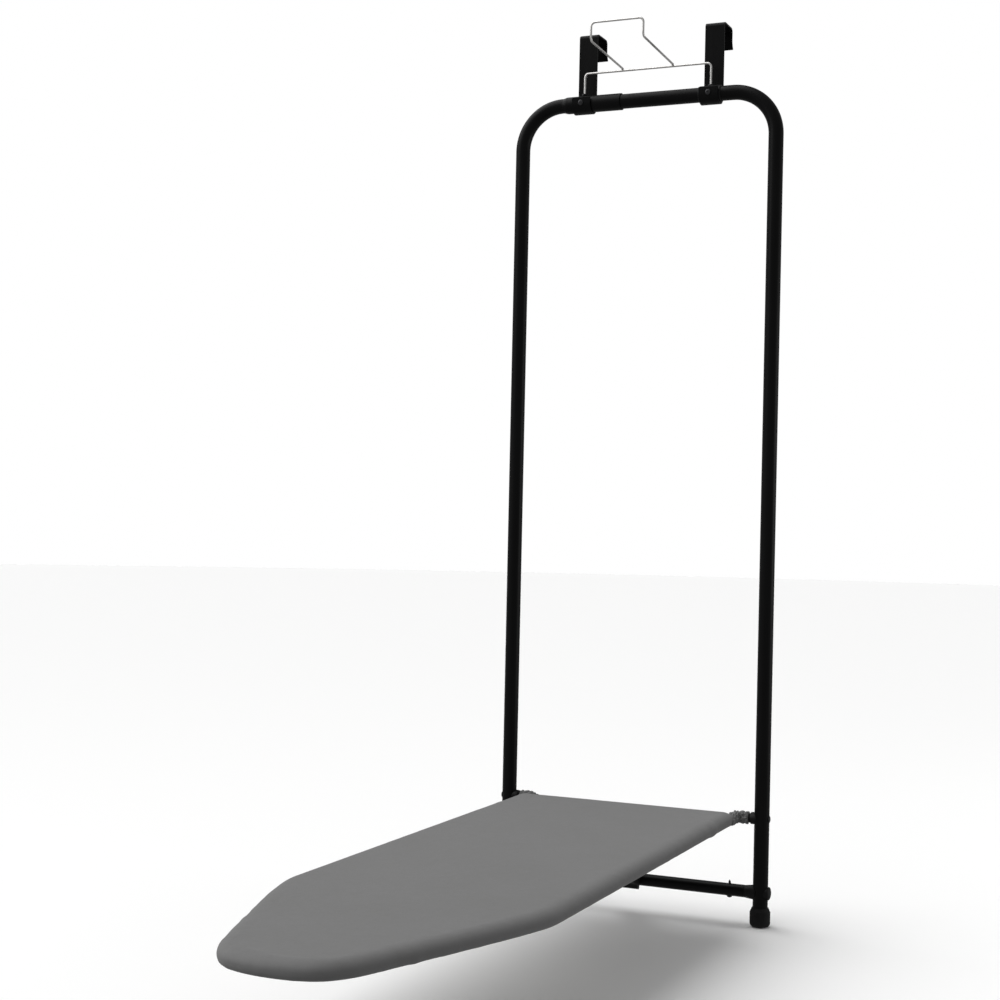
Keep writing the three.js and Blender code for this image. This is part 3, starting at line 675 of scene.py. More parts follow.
# the same fitting at every point, turned to face where the point says
def fittingsTree():
    tree, given, output = newTree("fittingsOnPoints", [
        ("Fitting", "Object", None), ("Material", "Material", None)])
    shape = treeNode(tree, "GeometryNodeObjectInfo", {"Object": given.outputs["Fitting"]})
    facing = treeNode(tree, "GeometryNodeInputNamedAttribute", {"Name": "facing"},
                      data_type="FLOAT_VECTOR")
    placed = treeNode(tree, "GeometryNodeInstanceOnPoints", {
        "Points": given.outputs["Geometry"], "Instance": shape.outputs["Geometry"],
        "Rotation": facing.outputs["Attribute"]})
    return endTree(tree, given, output, placed.outputs["Instances"])


# strands of one width and thickness along every edge of a net
def strandsTree():
    tree, given, output = newTree("strandsAlongEdges", [
        ("Strand Width", "Float", 0.001), ("Strand Thickness", "Float", 0.001),
        ("Material", "Material", None)])
    lines = treeNode(tree, "GeometryNodeMeshToCurve", {"Mesh": given.outputs["Geometry"]})
    upright = treeNode(tree, "GeometryNodeSetCurveNormal", {
        "Curve": lines.outputs["Curve"]}, mode="Z_UP")
    section = treeNode(tree, "GeometryNodeCurvePrimitiveQuadrilateral", {
        "Width": given.outputs["Strand Width"], "Height": given.outputs["Strand Thickness"]})
    solid = treeNode(tree, "GeometryNodeCurveToMesh", {
        "Curve": upright.outputs["Curve"], "Profile Curve": section.outputs["Curve"],
        "Fill Caps": True})
    return endTree(tree, given, output, solid.outputs["Mesh"])


# short thread stitches laid end to end with a gap along an edge loop
def stitchesTree():
    tree, given, output = newTree("stitchesAlongLoop", [
        ("Stitch Pitch", "Float", 0.003), ("Stitch Length", "Float", 0.002),
        ("Thread Thickness", "Float", 0.0004),
        ("Material", "Material", None)])
    line = treeNode(tree, "GeometryNodeMeshToCurve", {"Mesh": given.outputs["Geometry"]})
    spaced = treeNode(tree, "GeometryNodeCurveToPoints", {
        "Curve": line.outputs["Curve"], "Length": given.outputs["Stitch Pitch"]}, mode="LENGTH")
    bead = treeNode(tree, "GeometryNodeMeshUVSphere", {
        "Segments": 6, "Rings": 5, "Radius": 0.5})
    size = treeNode(tree, "ShaderNodeCombineXYZ", {
        "X": given.outputs["Thread Thickness"], "Y": given.outputs["Thread Thickness"],
        "Z": given.outputs["Stitch Length"]})
    shaped = treeNode(tree, "GeometryNodeTransform", {
        "Geometry": bead.outputs["Mesh"], "Scale": size.outputs["Vector"]})
    placed = treeNode(tree, "GeometryNodeInstanceOnPoints", {
        "Points": spaced.outputs["Points"], "Instance": shaped.outputs["Geometry"],
        "Rotation": spaced.outputs["Rotation"]})
    return endTree(tree, given, output, placed.outputs["Instances"])


fittings, strands, stitches = fittingsTree(), strandsTree(), stitchesTree()


# copies one fitting to its places as a single mesh
def fitAt(name, part, look, places, facings):
    plainMesh(part)
    for face in part.data.polygons:
        face.use_smooth = True
    made = grow(pointsObject(places, facings), fittings, {
        "Fitting": part, "Material": finishes[look][0]}, name)
    bpy.data.objects.remove(part)
    return made


bothSides = [(0, 0, 0), (0, 0, math.pi)]      # the right-hand fitting and its partner


# the same place on the left and on the right
def mirrored(x, height):
    return [(-x, tubePlane, height), (x, tubePlane, height)]


def pairAt(name, part, look, height):
    return fitAt(name, part, look, [(0, tubePlane, height)] * 2, bothSides)


print("node trees ready")


tube = {
    "radius": 11.0, "wall": 1.2, "bend": 66.0, "bendSteps": 30, "sides": 48,
    "footClear": 5.3,
    "socketRadius": 12.7, "socketEnd": -39.5, "socketTaper": 8.0,
    "innerEnd": -75.0,
    "screwX": -57.0,
}


def uprightPath(side, endX):
    x = side * uprightX
    bottom = floorHeight + tube["footClear"] * mm
    return filleted([(x, tubePlane, bottom), (x, tubePlane, barHeight), (endX, tubePlane, barHeight)],
                    tube["bend"] * mm, tube["bendSteps"])


def makeLeftTube():
    start = -uprightX + (tube["bend"] + 1) * mm
    path = uprightPath(-1, start)
    radii = [tube["radius"] * mm] * len(path)
    growth = (tube["socketRadius"] - tube["radius"]) * mm
    steps = 8
    for k in range(1, steps + 1):      # the end is swelled into a socket
        share = k / steps
        path.append(Vector((start + tube["socketTaper"] * mm * share, tubePlane, barHeight)))
        radii.append(tube["radius"] * mm + growth * (3 * share ** 2 - 2 * share ** 3))
    path.append(Vector((tube["socketEnd"] * mm, tubePlane, barHeight)))
    radii.append(tube["socketRadius"] * mm)
    bm = bmesh.new()
    sweep(bm, path, radii, [r - tube["wall"] * mm for r in radii], tube["sides"])
    made = newObject("frameTubeLeft", bm, "paint", bevel=0.35 * mm, sharp=50)
    assign(made, "frame", "paint", "frame_tube_left")


def makeRightTube():
    bm = bmesh.new()
    radius = tube["radius"] * mm
    sweep(bm, uprightPath(1, tube["innerEnd"] * mm), radius, radius - tube["wall"] * mm,
          tube["sides"])
    made = newObject("frameTubeRight", bm, "paint", bevel=0.3 * mm, sharp=50)
    assign(made, "frame", "paint", "frame_tube_right")


def makeJointScrew():
    made = turnedPart("jointScrew", "fixing", [
        (0, 4), (1.8, 4), (1.8, 13.0), (4.1, 13.0), (4.2, 13.5), (3.9, 14.5), (2.8, 15.0), (0, 15.2)
    ], alongY, (tube["screwX"] * mm, tubePlane, barHeight), 32)
    crossRecess(made, (tube["screwX"] * mm, tubePlane + 14.8 * mm, barHeight), alongY,
                4.2 * mm, 1.8 * mm)
    markSharp(made, 30)
    assign(made, "frame", "fixing", "joint_screw")


makeLeftTube()
makeRightTube()
makeJointScrew()

hook = {
    "width": 30.0, "thickness": 2.5, "lipDrop": 30.0, "bend": 5.0, "arcSteps": 10,
    "doorFace": 15.5, "doorGap": 38.0, "wrapRise": 8.5,
}


def arc(centre, radius, start, end, steps):
    return [(centre[0] + radius * math.cos(start + (end - start) * k / steps),
             centre[1] + radius * math.sin(start + (end - start) * k / steps))
            for k in range(steps + 1)]


def makeHook(side, name):
    # drawn as (back, up) from the bar's centre, in millimetres
    top = (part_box(f"door_hook_{name}")[1][2] - barHeight) / mm - hook["thickness"] / 2
    cradle = tube["socketRadius"] + clearance + hook["thickness"] / 2
    strapY = hook["doorFace"] - hook["thickness"] / 2
    lipY = hook["doorFace"] + hook["doorGap"] + hook["thickness"] / 2
    bend, steps = hook["bend"], hook["arcSteps"]
    line = [(lipY + 5, top - hook["lipDrop"]), (lipY + 2.2, top - hook["lipDrop"] + 4.6),
            (lipY + 0.5, top - hook["lipDrop"] + 9), (lipY, top - hook["lipDrop"] + 13)]
    line += arc((lipY - bend, top - bend), bend, 0, math.pi / 2, steps)
    line += arc((strapY + bend, top - bend), bend, math.pi / 2, math.pi, steps)
    line += [(strapY, 30), (strapY - 0.15, 16), (cradle - 0.05, 7)]
    line += arc((0, 0), cradle, 0, -math.pi, 3 * steps)
    line += [(-cradle, hook["wrapRise"])]
    shape = [(p[0] + tubePlane / mm, p[1] + barHeight / mm) for p in strap(line, hook["thickness"])]
    x, half = side * hookX, hook["width"] / 2 * mm
    made = prismPart(f"doorHook{name.capitalize()}", "paint", shape, x - half, x + half, "X",
                     bevel=0.45 * mm, sharp=50)
    assign(made, "frame", "paint", f"door_hook_{name}")


def makeHookPad(name):
    low, high = (Vector(v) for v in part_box(f"hook_pad_{name}"))
    bm = bmesh.new()
    bmesh.ops.create_cube(bm, size=1)
    bmesh.ops.transform(bm, verts=bm.verts, matrix=(
        Matrix.Translation((low + high) / 2) @ Matrix.Diagonal((*(high - low), 1))))
    bmesh.ops.subdivide_edges(bm, edges=[e for e in bm.edges if e.calc_length() > 0.01],
                              cuts=15, use_grid_fill=True)
    for v in bm.verts:      # the foam's front is softly uneven
        if v.co.y > high.y - 1e-5:
            v.co.y -= 0.25 * mm * (0.5 + noise.noise(v.co * 180))
    made = newObject(f"hookPad{name.capitalize()}", bm, "foam", bevel=0.35 * mm, sharp=50)
    assign(made, "frame", "foam", f"hook_pad_{name}")


for side, name in ((-1, "left"), (1, "right")):
    makeHook(side, name)
    makeHookPad(name)


def makeHookScrews():
    front = -(tube["socketRadius"] + clearance + hook["thickness"])
    # built looking along -Y from the bar's centre
    part = turnedPart("screwPart", "fixing", [
        (0, 5.5), (1.6, 5.5), (2, 6.2), (2, -front + 0.3), (4.3, -front + 0.3),
        (4.25, -front + 0.9), (3.7, -front + 1.8), (2.4, -front + 2.4), (0, -front + 2.6)
    ], alongMinusY, sides=40)
    crossRecess(part, (0, (front - 2.4) * mm, 0), alongY, 4.4 * mm, 1.9 * mm)
    markSharp(part, 30)
    made = fitAt("hookScrews", part, "fixing",
                 mirrored(hookX, barHeight), [(0, 0, 0)] * 2)
    assign(made, "frame", "fixing", "hook_screw_left", "hook_screw_right")


def makeSleeve():
    inner, outer = tube["radius"] + clearance, tube["socketRadius"]
    half = hook["width"] / 2 + 2.5
    made = turnedPart("hookSleeve", "plastic", [
        (inner, -half), (outer - 1.2, -half), (outer - 0.35, -half + 0.8), (outer, -half + 2.4),
        (outer, half - 2.4), (outer - 0.35, half - 0.8), (outer - 1.2, half), (inner, half),
        (inner, -half)
    ], alongX, (hookX, tubePlane, barHeight), bevel=0.2 * mm)
    assign(made, "frame", "plastic", "hook_sleeve_right")


def makeGrommet(side, name):
    legX = middleOf(f"rest_grommet_{name}").x
    top = tube["socketRadius"] if side < 0 else tube["radius"]
    bore = 1.9
    made = turnedPart(f"restGrommet{name.capitalize()}", "plastic", [
        (bore, top - 4.2), (2.6, top - 4.2), (3.2, top - 3.4), (3.2, top + 0.3), (4.6, top + 0.3),
        (4.6, top + 2.0), (4.2, top + 2.9), (3.5, top + 3.5), (2.6, top + 3.6), (bore, top + 3.3),
        (bore, top - 4.2)
    ], place=(legX, tubePlane, barHeight), sides=32, bevel=0.15 * mm)
    assign(made, "frame", "plastic", f"rest_grommet_{name}")


def makeFeet():
    inner = tube["radius"] + clearance
    part = turnedPart("footPart", "rubber", [
        (0, 0.6), (6, 0.6), (6.6, 0), (10.4, 0), (12.3, 0.7), (14.1, 2.6), (14.8, 4.4), (15, 6.5),
        (15, 21.0), (14.8, 21.9), (14.2, 22.9), (12.9, 25.9), (12.4, 27.0), (12.0, 27.8),
        (11.8, 28), (inner, 27.6), (inner, 5), (0, 5)
    ], bevel=0.25 * mm)
    made = fitAt("rubberFeet", part, "rubber",
                 mirrored(uprightX, floorHeight),
                 [(0, 0, 0), (0, 0, 0.6)])
    assign(made, "frame", "rubber", "foot_left", "foot_right")


makeHookScrews()
makeSleeve()
makeGrommet(-1, "left")
makeGrommet(1, "right")
makeFeet()
print("hanging frame made")


crossbar = {
    "radius": 9.0, "wall": 1.3, "setBack": 12.0, "plugFlare": 10.5, "boltRadius": 3.0,
    "capRadius": 9.6, "capRise": 4.2, "boltHead": 2.0,
}
uprightMm = uprightX / mm
innerFace = uprightMm - tube["radius"]
outerFace = uprightMm + tube["radius"]


# shapes a fitting to sit against the right-hand upright
def saddleCut(part):
    carve(part, ((uprightX, 0, -0.03), (uprightX, 0, 0.03), (tube["radius"] + clearance) * mm))


def makeCrossbar():
    half = (innerFace - crossbar["setBack"]) * mm
    made = sweptPart("lowerCrossbar", "paint",
                     [Vector((x, tubePlane, crossbarHeight)) for x in (-half, half)],
                     crossbar["radius"] * mm, (crossbar["radius"] - crossbar["wall"]) * mm, 44,
                     bevel=0.3 * mm, sharp=50)
    assign(made, "frame", "paint", "crossbar")


def makePlugs():
    insert = crossbar["radius"] - crossbar["wall"] - clearance
    collar = innerFace - crossbar["setBack"] + 0.3
    radius, flare, screw = crossbar["radius"], crossbar["plugFlare"], plugScrewX / mm
    part = turnedPart("plugPart", "plastic", [
        (0, screw - 12), (insert - 1, screw - 12), (insert, screw - 9), (insert, collar),
        (radius, collar), (radius + 0.15, collar + 1.2), (radius + 0.5, collar + 4),
        (radius + 0.95, collar + 7), (flare - 0.15, innerFace - 2.4), (flare, innerFace),
        (flare, innerFace + 5), (0, innerFace + 5)
    ], alongX, sides=64, sharp=0)
    saddleCut(part)
    softenEdges(part, 0.35 * mm, 40)
    made = pairAt("crossbarPlugs", part, "plastic", crossbarHeight)
    assign(made, "frame", "plastic", "crossbar_plug_left", "crossbar_plug_right")


def makeCrossbarBolts():
    screw, head = plugScrewX / mm, outerFace + clearance
    bm = bmesh.new()
    turned(bm, [(0, screw + 8), (2.6, screw + 8), (3, screw + 8.6), (3, head), (0, head)],
           alongX, sides=32)
    top = head + crossbar["boltHead"]
    turned(bm, [(0, head), (5, head), (5, top - 0.4), (4.5, top), (0, top)],
           alongX, sides=6)
    part = newObject("boltPart", bm, "fixing", bevel=0.2 * mm, sharp=30, weld=False)
    made = pairAt("crossbarBolts", part, "fixing", crossbarHeight)
    assign(made, "frame", "fixing", "crossbar_bolt_left", "crossbar_bolt_right")


def makeCaps():
    radius, rise = crossbar["capRadius"], crossbar["capRise"]
    steps = 12
    dome = [(radius * math.cos(a), outerFace + 1.2 + (rise - 1.2) * math.sin(a))
            for a in (math.pi / 2 * k / steps for k in range(steps + 1))]
    dome[-1] = (0, dome[-1][1])
    part = turnedPart("capPart", "plastic", [
        (0, outerFace - 6), (radius, outerFace - 6)
    ]+ dome, alongX, sides=64, sharp=0)
    saddleCut(part)
    deep = outerFace + crossbar["boltHead"] + 0.6
    carve(part, (((outerFace - 3) * mm, 0, 0), (deep * mm, 0, 0), 5.4 * mm))
    softenEdges(part, 0.25 * mm, 40)
    made = pairAt("crossbarCaps", part, "plastic", crossbarHeight)
    assign(made, "frame", "plastic", "crossbar_cap_left", "crossbar_cap_right")


def makePlugScrews():
    low, high = -crossbar["radius"], crossbar["radius"]
    profile = [(0, low - 2.6), (1.2, low - 2.52), (2.4, low - 2.15), (3.4, low - 1.5),
               (4.05, low - 0.75), (4.2, low - 0.3), (2, low - 0.3)]
    pitch = 0.9
    height = low + 0.4
    while height < high + 2:      # thread
        profile += [(2.0, height), (1.72, height + pitch / 2)]
        height += pitch
    profile += [(1.9, high + 2.2), (1.3, high + 3.6), (0.4, high + 5.3), (0, high + 5.5)]
    part = turnedPart("plugScrewPart", "fixing", profile, sides=28)
    crossRecess(part, (0, 0, (low - 2.3) * mm), alongZ, 4.0 * mm, 1.9 * mm)
    made = fitAt("plugScrews", part, "fixing",
                 mirrored(plugScrewX, crossbarHeight),
                 [(0, 0, 0.3), (0, 0, 0.9)])
    markSharp(made, 32)
    assign(made, "frame", "fixing", "plug_screw_left", "plug_screw_right")


makeCrossbar()
makePlugs()
makeCrossbarBolts()
makeCaps()
makePlugScrews()
print("crossbar made")


rail = {"radius": 6.0, "wall": 1.0, "inset": 7.3, "sides": 28}
boardHalfWidth = coverHigh[0] / mm
railX = boardHalfWidth - rail["inset"]
pivot = {"bossRadius": 8.8, "bossLength": 5.5, "boltRadius": 3.0, "nutRadius": 5.6}


def makeBosses():
    flange = innerFace - pivot["bossLength"]
    outer, bore = railX + rail["radius"] + clearance, pivot["boltRadius"] + clearance
    radius = pivot["bossRadius"]
    part = turnedPart("bossPart", "plastic", [
        (bore, outer), (5.3, outer), (5.6, outer + 0.4), (5.6, flange - 2), (6.6, flange - 0.9),
        (radius - 1, flange), (radius - 0.3, flange + 0.5), (radius, flange + 1.5),
        (radius, innerFace + 6), (bore, innerFace + 6), (bore, outer)
    ], alongX, sides=64, sharp=0)
    saddleCut(part)
    softenEdges(part, 0.25 * mm, 40)
    made = pairAt("pivotBosses", part, "plastic", pivotHeight)
    assign(made, "frame", "plastic", "pivot_boss_left", "pivot_boss_right")


def makePivotBolts():
    head, end, radius = outerFace + clearance, railX - rail["radius"] - 7.5, pivot["boltRadius"]
    profile = [(0, end), (radius - 0.6, end), (radius, end + 0.6)]
    height = end + 1.2
    while height < end + 8:
        profile += [(radius, height), (radius - 0.35, height + 0.5)]
        height += 1.0
    profile += [(radius, end + 9), (radius, head), (5, head), (4.8, head + 0.25),
                (4.2, head + 0.55), (2.6, head + 0.75), (0, head + 0.8)]
    part = turnedPart("pivotBoltPart", "fixing", profile, alongX, sides=40)
    crossRecess(part, ((head + 0.8) * mm, 0, 0), alongX, 4.4 * mm, 0.9 * mm)
    made = pairAt("pivotBolts", part, "fixing", pivotHeight)
    markSharp(made, 32)
    assign(made, "frame", "fixing", "pivot_bolt_left", "pivot_bolt_right")


def makePivotNuts():
    start, bore, radius = railX - rail["radius"] - 5.3, pivot["boltRadius"] + 0.25, pivot["nutRadius"]
    part = turnedPart("nutPart", "fixing", [
        (bore, start), (radius - 0.5, start), (radius, start + 0.6), (radius, start + 4.4),
        (radius - 0.5, start + 5), (bore, start + 5), (bore, start)
    ], alongX, sides=6, bevel=0.15 * mm, sharp=25)
    made = pairAt("pivotNuts", part, "fixing", pivotHeight)
    assign(made, "frame", "fixing", "pivot_nut_left", "pivot_nut_right")


makeBosses()
makePivotBolts()
makePivotNuts()
print("pivots made")


wire = {"radius": 1.6, "sides": 20, "baseBend": 6.0, "loopBend": 6.5, "bendSteps": 9,
        "loopRise": 30.0}


def makeRestBase():
    low, high = (Vector(v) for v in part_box("rest_base_wire"))
    inset = wire["radius"] * mm
    left, right, top = low.x + inset, high.x - inset, high.z - inset
    path = filleted([(left, tubePlane, low.z), (left, tubePlane, top),
                     (right, tubePlane, top), (right, tubePlane, low.z)],
                    wire["baseBend"] * mm, wire["bendSteps"])
    made = sweptPart("restBaseWire", "zinc", path, inset, sides=wire["sides"], bevel=0.3 * mm,
                     sharp=50)
    assign(made, "iron_rest", "zinc", "rest_base_wire")


def makeRestLoop():
    low, high = (Vector(v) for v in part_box("rest_loop_wire"))
    inset = wire["radius"] * mm
    left, right = low.x + inset, high.x - inset
    front, top = low.y + inset, high.z - inset
    back, bottom = high.y, low.z + inset
    corner = top - wire["loopRise"] * mm + 2 * inset + clearance * mm
    path = filleted([(left, back, bottom), (left, front, corner), (left, front, top),
                     (right, front, top), (right, front, corner), (right, back, bottom)],
                    wire["loopBend"] * mm, wire["bendSteps"])
    bm = bmesh.new()
    sweep(bm, path, inset, sides=wire["sides"])
    for x in (left, right):      # weld where the loop lies on the base wire
        weld = bmesh.ops.create_uvsphere(bm, u_segments=16, v_segments=10, radius=1.0)["verts"]
        bmesh.ops.transform(bm, verts=weld, matrix=(
            Matrix.Translation((x, tubePlane, bottom - inset * 0.95))
            @ Matrix.Diagonal((2.1 * mm, 1.5 * mm, 0.55 * mm, 1))))
    made = newObject("restLoopWire", bm, "zinc", bevel=0.3 * mm, sharp=50)
    assign(made, "iron_rest", "zinc", "rest_loop_wire")


makeRestBase()
makeRestLoop()
print("iron rest made")


outlineValues = {
    "shoulder": 680.0, "shoulderCorner": 711.0, "taperStart": 812.0, "noseStart": 951.0,
    "noseFullness": 0.66, "noseHandle": 35.0, "taperSlope": 0.344, "rearCorner": 16.0,
}
boardRear = (coverHigh[1] - tubePlane) / mm
boardTip = (coverLow[1] - tubePlane) / mm


def quadratic(a, b, c, steps):
    return [a * (1 - t) ** 2 + b * 2 * t * (1 - t) + c * t * t
            for t in ((k + 1) / steps for k in range(steps))]


# right half of the board's outline moved inwards, from the rear edge to the tip
def halfOutline(inset, density=1.0):
    v = outlineValues
    def back(s):
        return boardRear - s
    side = boardHalfWidth - inset
    corner = max(v["rearCorner"] - inset, 3)
    slant = math.hypot(1, v["taperSlope"])
    def taperWidth(s):
        return boardHalfWidth - v["taperSlope"] * (s - v["shoulderCorner"]) - inset * slant
    control = v["shoulderCorner"] - inset * (slant - 1) / v["taperSlope"]
    noseFrom = v["noseStart"] - inset * v["taperSlope"] / slant
    tip = boardTip + inset
    handle = min(v["noseHandle"], 0.6 * (back(noseFrom) - tip))

    def straight(a, b, steps):
        return [a.lerp(b, (k + 1) / steps) for k in range(steps)]

    def count(n):
        return max(2, round(n * density))
    rearEnd = Vector((side - corner, back(inset)))
    sideStart, sideEnd = Vector((side, back(inset + corner))), Vector((side, back(v["shoulder"])))
    taperFrom = Vector((taperWidth(v["taperStart"]), back(v["taperStart"])))
    noseAt = Vector((taperWidth(noseFrom), back(noseFrom)))
    points = [Vector((0, back(inset)))]
    points += straight(points[-1], rearEnd, count(46))
    points += quadratic(rearEnd, Vector((side, back(inset))), sideStart, count(8))
    points += straight(sideStart, sideEnd, count(180))
    points += quadratic(sideEnd, Vector((side, back(control))), taperFrom, count(34))
    points += straight(taperFrom, noseAt, count(72))
    a, d = noseAt, Vector((0, tip))
    b = Vector((taperWidth(noseFrom + handle), back(noseFrom + handle)))
    c = Vector((taperWidth(noseFrom) * v["noseFullness"], tip))
    steps = count(40)
    for k in range(1, steps + 1):
        t = k / steps
        points.append(a * (1 - t) ** 3 + b * 3 * t * (1 - t) ** 2 + c * 3 * t * t * (1 - t)
                      + d * t ** 3)
    return points


def wholeOutline(inset, density=1.0):
    half = halfOutline(inset, density)
    return half + [Vector((-p.x, p.y)) for p in half[-2:0:-1]]


# a place in millimetres from the pivot line, in metres
def onBoard(x, y, z):
    return Vector((x * mm, y * mm + tubePlane, z * mm + pivotHeight))


board = {
    "railRear": 7.0,
    "rearTubeSetIn": 8.0,
    "memberWidth": 24.0, "memberWall": 1.2,
    "netLength": 18.0, "netWidth": 9.0, "strandWidth": 1.7, "sheetThickness": 0.8,
    "sheetInset": 7.6, "sheetHeight": 6.7, "rimWidth": 4.4, "rimLow": 6.32, "rimHigh": 7.08,
}


def makeRail():
    half = [p for p in halfOutline(rail["inset"]) if p.x > 1 and p.y < boardRear - 17]
    run = [Vector((railX, board["railRear"]))] + half
    run += [Vector((0, boardTip + rail["inset"]))]
    run += [Vector((-p.x, p.y)) for p in reversed(half)] + [Vector((-railX, board["railRear"]))]
    kept = [run[0]]
    for p in run[1:]:
        if (p - kept[-1]).length > 4:
            kept.append(p)
    made = sweptPart("boardRail", "paint", [onBoard(p.x, p.y, 0) for p in kept],
                     rail["radius"] * mm, (rail["radius"] - rail["wall"]) * mm, rail["sides"],
                     sharp=50)
    assign(made, "board", "paint", "board_rail")


def makeRearTube():
    half = railX - rail["radius"] - clearance
    y = boardRear - board["rearTubeSetIn"]
    made = sweptPart("boardRearTube", "paint", [onBoard(-half, y, 0), onBoard(half, y, 0)],
                     rail["radius"] * mm, (rail["radius"] - rail["wall"]) * mm, 28,
                     bevel=0.2 * mm, sharp=50)
    assign(made, "board", "paint", "board_rear_tube")


# a three-sided pressed channel with rounded bends, as (across, up) points
def channelShape(halfWidth, low, high, wall, corner, opensUp):
    sign = 1 if opensUp else -1
    base, rim = (low, high) if opensUp else (high, low)
    outer, inner = [], []
    for side in (-1, 1):
        centre = (side * (halfWidth - corner), base + sign * corner)
        start = math.pi if side < 0 else -math.pi / 2
        for k in range(6):
            a = start + (math.pi / 2) * k / 5
            spot = Vector((math.cos(a), math.sin(a) * sign))
            outer.append(Vector(centre) + spot * corner)
            inner.append(Vector(centre) + spot * max(corner - wall, 0.05))
    return ([Vector((-halfWidth, rim))] + outer + [Vector((halfWidth, rim))]
            + [Vector((halfWidth - wall, rim))] + inner[::-1] + [Vector((-halfWidth + wall, rim))])


def makeMembers():
    for i, place in enumerate(memberPlaces, start=1):
        low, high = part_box(f"cross_member_{i}")
        shape = channelShape(board["memberWidth"] / 2, (low[2] - pivotHeight) / mm,
                             (high[2] - pivotHeight) / mm, board["memberWall"], 2.2, True)
        bm = bmesh.new()
        prism(bm, [(p.x + place / mm, p.y + pivotHeight / mm) for p in shape],
              low[0], high[0], "X")
        made = newObject(f"crossMember{i}", bm, "paint", bevel=0.25 * mm, sharp=50)
        assign(made, "board", "paint", f"cross_member_{i}")


# expanded steel: a net of diamonds inside a plain rim
def makeNet():
    inset = board["sheetInset"] + 2
    edge = halfOutline(inset, 0.6)
    table = [(p.y, p.x) for p in edge if p.y < edge[0].y - 1]
    table = [(edge[0].y, edge[0].x + boardHalfWidth - inset)] + table

    def width(y):
        for (y0, w0), (y1, w1) in zip(table, table[1:]):
            if (y0 - y) * (y1 - y) <= 0 and y0 != y1:
                return w0 + (w1 - w0) * (y - y0) / (y1 - y0)
        return -1

    def inside(p):
        return boardTip + inset < p.y < boardRear - inset and abs(p.x) < width(p.y)
    long, short = board["netLength"], board["netWidth"]
    bm = bmesh.new()
    knots = {}

    def knot(p):
        key = (round(p.x, 3), round(p.y, 3))
        if key not in knots:
            knots[key] = bm.verts.new(onBoard(p.x, p.y, board["sheetHeight"]))
        return knots[key]
    rows = int((boardRear - boardTip) / long) + 2
    columns = int(boardHalfWidth / short) + 2
    for j in range(rows * 2):
        for i in range(-columns, columns + 1):
            start = Vector(((i + (j % 2) / 2) * short, boardRear - j * long / 2))
            for step in (-short / 2, short / 2):
                a, b = start, start + Vector((step, -long / 2))
                inA, inB = inside(a), inside(b)
                if not inA and not inB:
                    continue
                if inA != inB:      # stops on the rim
                    good, bad = (a, b) if inA else (b, a)
                    for _ in range(9):
                        middle = (good + bad) / 2
                        good, bad = (middle, bad) if inside(middle) else (good, middle)
                    a, b = (a, good) if inA else (good, b)
                if (a - b).length > 0.8:
                    bm.edges.new((knot(a), knot(b)))
    base = linked("net", bm)
    net = grow(base, strands, {
        "Strand Width": board["strandWidth"] * mm, "Strand Thickness": board["sheetThickness"] * mm,
        "Material": finishes["meshPaint"][0]}, "boardNet")
    # the plain rim joins the strands' ends
    bm = bmesh.new()
    bm.from_mesh(net.data)
    outside, inner = board["sheetInset"], board["sheetInset"] + board["rimWidth"]
    low, high = board["rimLow"], board["rimHigh"]
    rings = [[bm.verts.new(onBoard(p.x, p.y, z)) for p in wholeOutline(ringInset, 0.5)]
             for ringInset, z in ((outside, low), (inner, low), (inner, high), (outside, high))]
    for k in range(4):
        one, two = rings[k], rings[(k + 1) % 4]
        for i in range(len(one)):
            j = (i + 1) % len(one)
            bm.faces.new((one[i], two[i], two[j], one[j]))
    bmesh.ops.recalc_face_normals(bm, faces=bm.faces)
    bm.to_mesh(net.data)
    bm.free()
    net.data.shade_smooth()
    markSharp(net, 40)
    assign(net, "board", "meshPaint", "board_sheet")


def makeRailCaps():
    inner = rail["radius"] - rail["wall"] - clearance
    radius = rail["radius"]
    part = turnedPart("railCapPart", "plastic", [
        (0, -10), (inner - 1, -10), (inner, -8), (inner, 0.3), (radius - 0.2, 0.3), (radius, 0.6),
        (radius, 1.2), (radius - 0.4, 1.9), (radius - 1.2, 2.35), (0, 2.4)
    ], alongY, sides=40, sharp=0)
    carve(part, ((-0.01, 0, 0), (0.01, 0, 0), (pivot["boltRadius"] + clearance) * mm))
    for v in part.data.vertices:
        v.co.y += board["railRear"] * mm
    made = fitAt("railCaps", part, "plastic",
                 mirrored(railX * mm, pivotHeight), [(0, 0, 0)] * 2)
    markSharp(made, 40)
    assign(made, "board", "plastic", "rail_cap_left", "rail_cap_right")


makeRail()
makeRearTube()
makeMembers()
makeNet()
makeRailCaps()
print("board frame made")


pad = {"inset": 6.4, "bottom": 7.45, "top": 11.0, "gap": 0.35}
cover = {
    "top": 12.7, "bottom": -7.3, "hem": 43.0, "thickness": 0.7,
    "topRound": 11.0, "topReach": 17.0, "turnUnder": 7.3,
    "hemFold": 10.0, "hemFoldRise": 0.45,
    # from and to, in millimetres: slack near the tip, and where the rear corners start
    "noseSlack": (330, 40), "cornerAcross": (110, 168), "cornerAlong": (120, 10),
    "bulgeAcross": (120, 165), "bulgeAlong": (230, 60), "bulgeLength": 38,
    # widths of the folds on top and on the skirt, and how many gathers the hem has
    "topFolds": (95, 22), "skirtFolds": (30, 13), "hemFolds": 118, "seamRing": 8,
    "skirtWrinkle": 0.75, "cornerBulge": 6.5, "hemGather": 1.7, "topWaviness": 0.35,
    "stitchPitch": 3.4, "stitchLength": 2.5, "threadThickness": 0.42,
}


# height of the cover's rounded upper edge, so far in from its side
def coverEdge(inset):
    share = max(1 - inset / cover["topReach"], 0)
    return cover["top"] - cover["topRound"] * (1 - math.sqrt(1 - share * share))


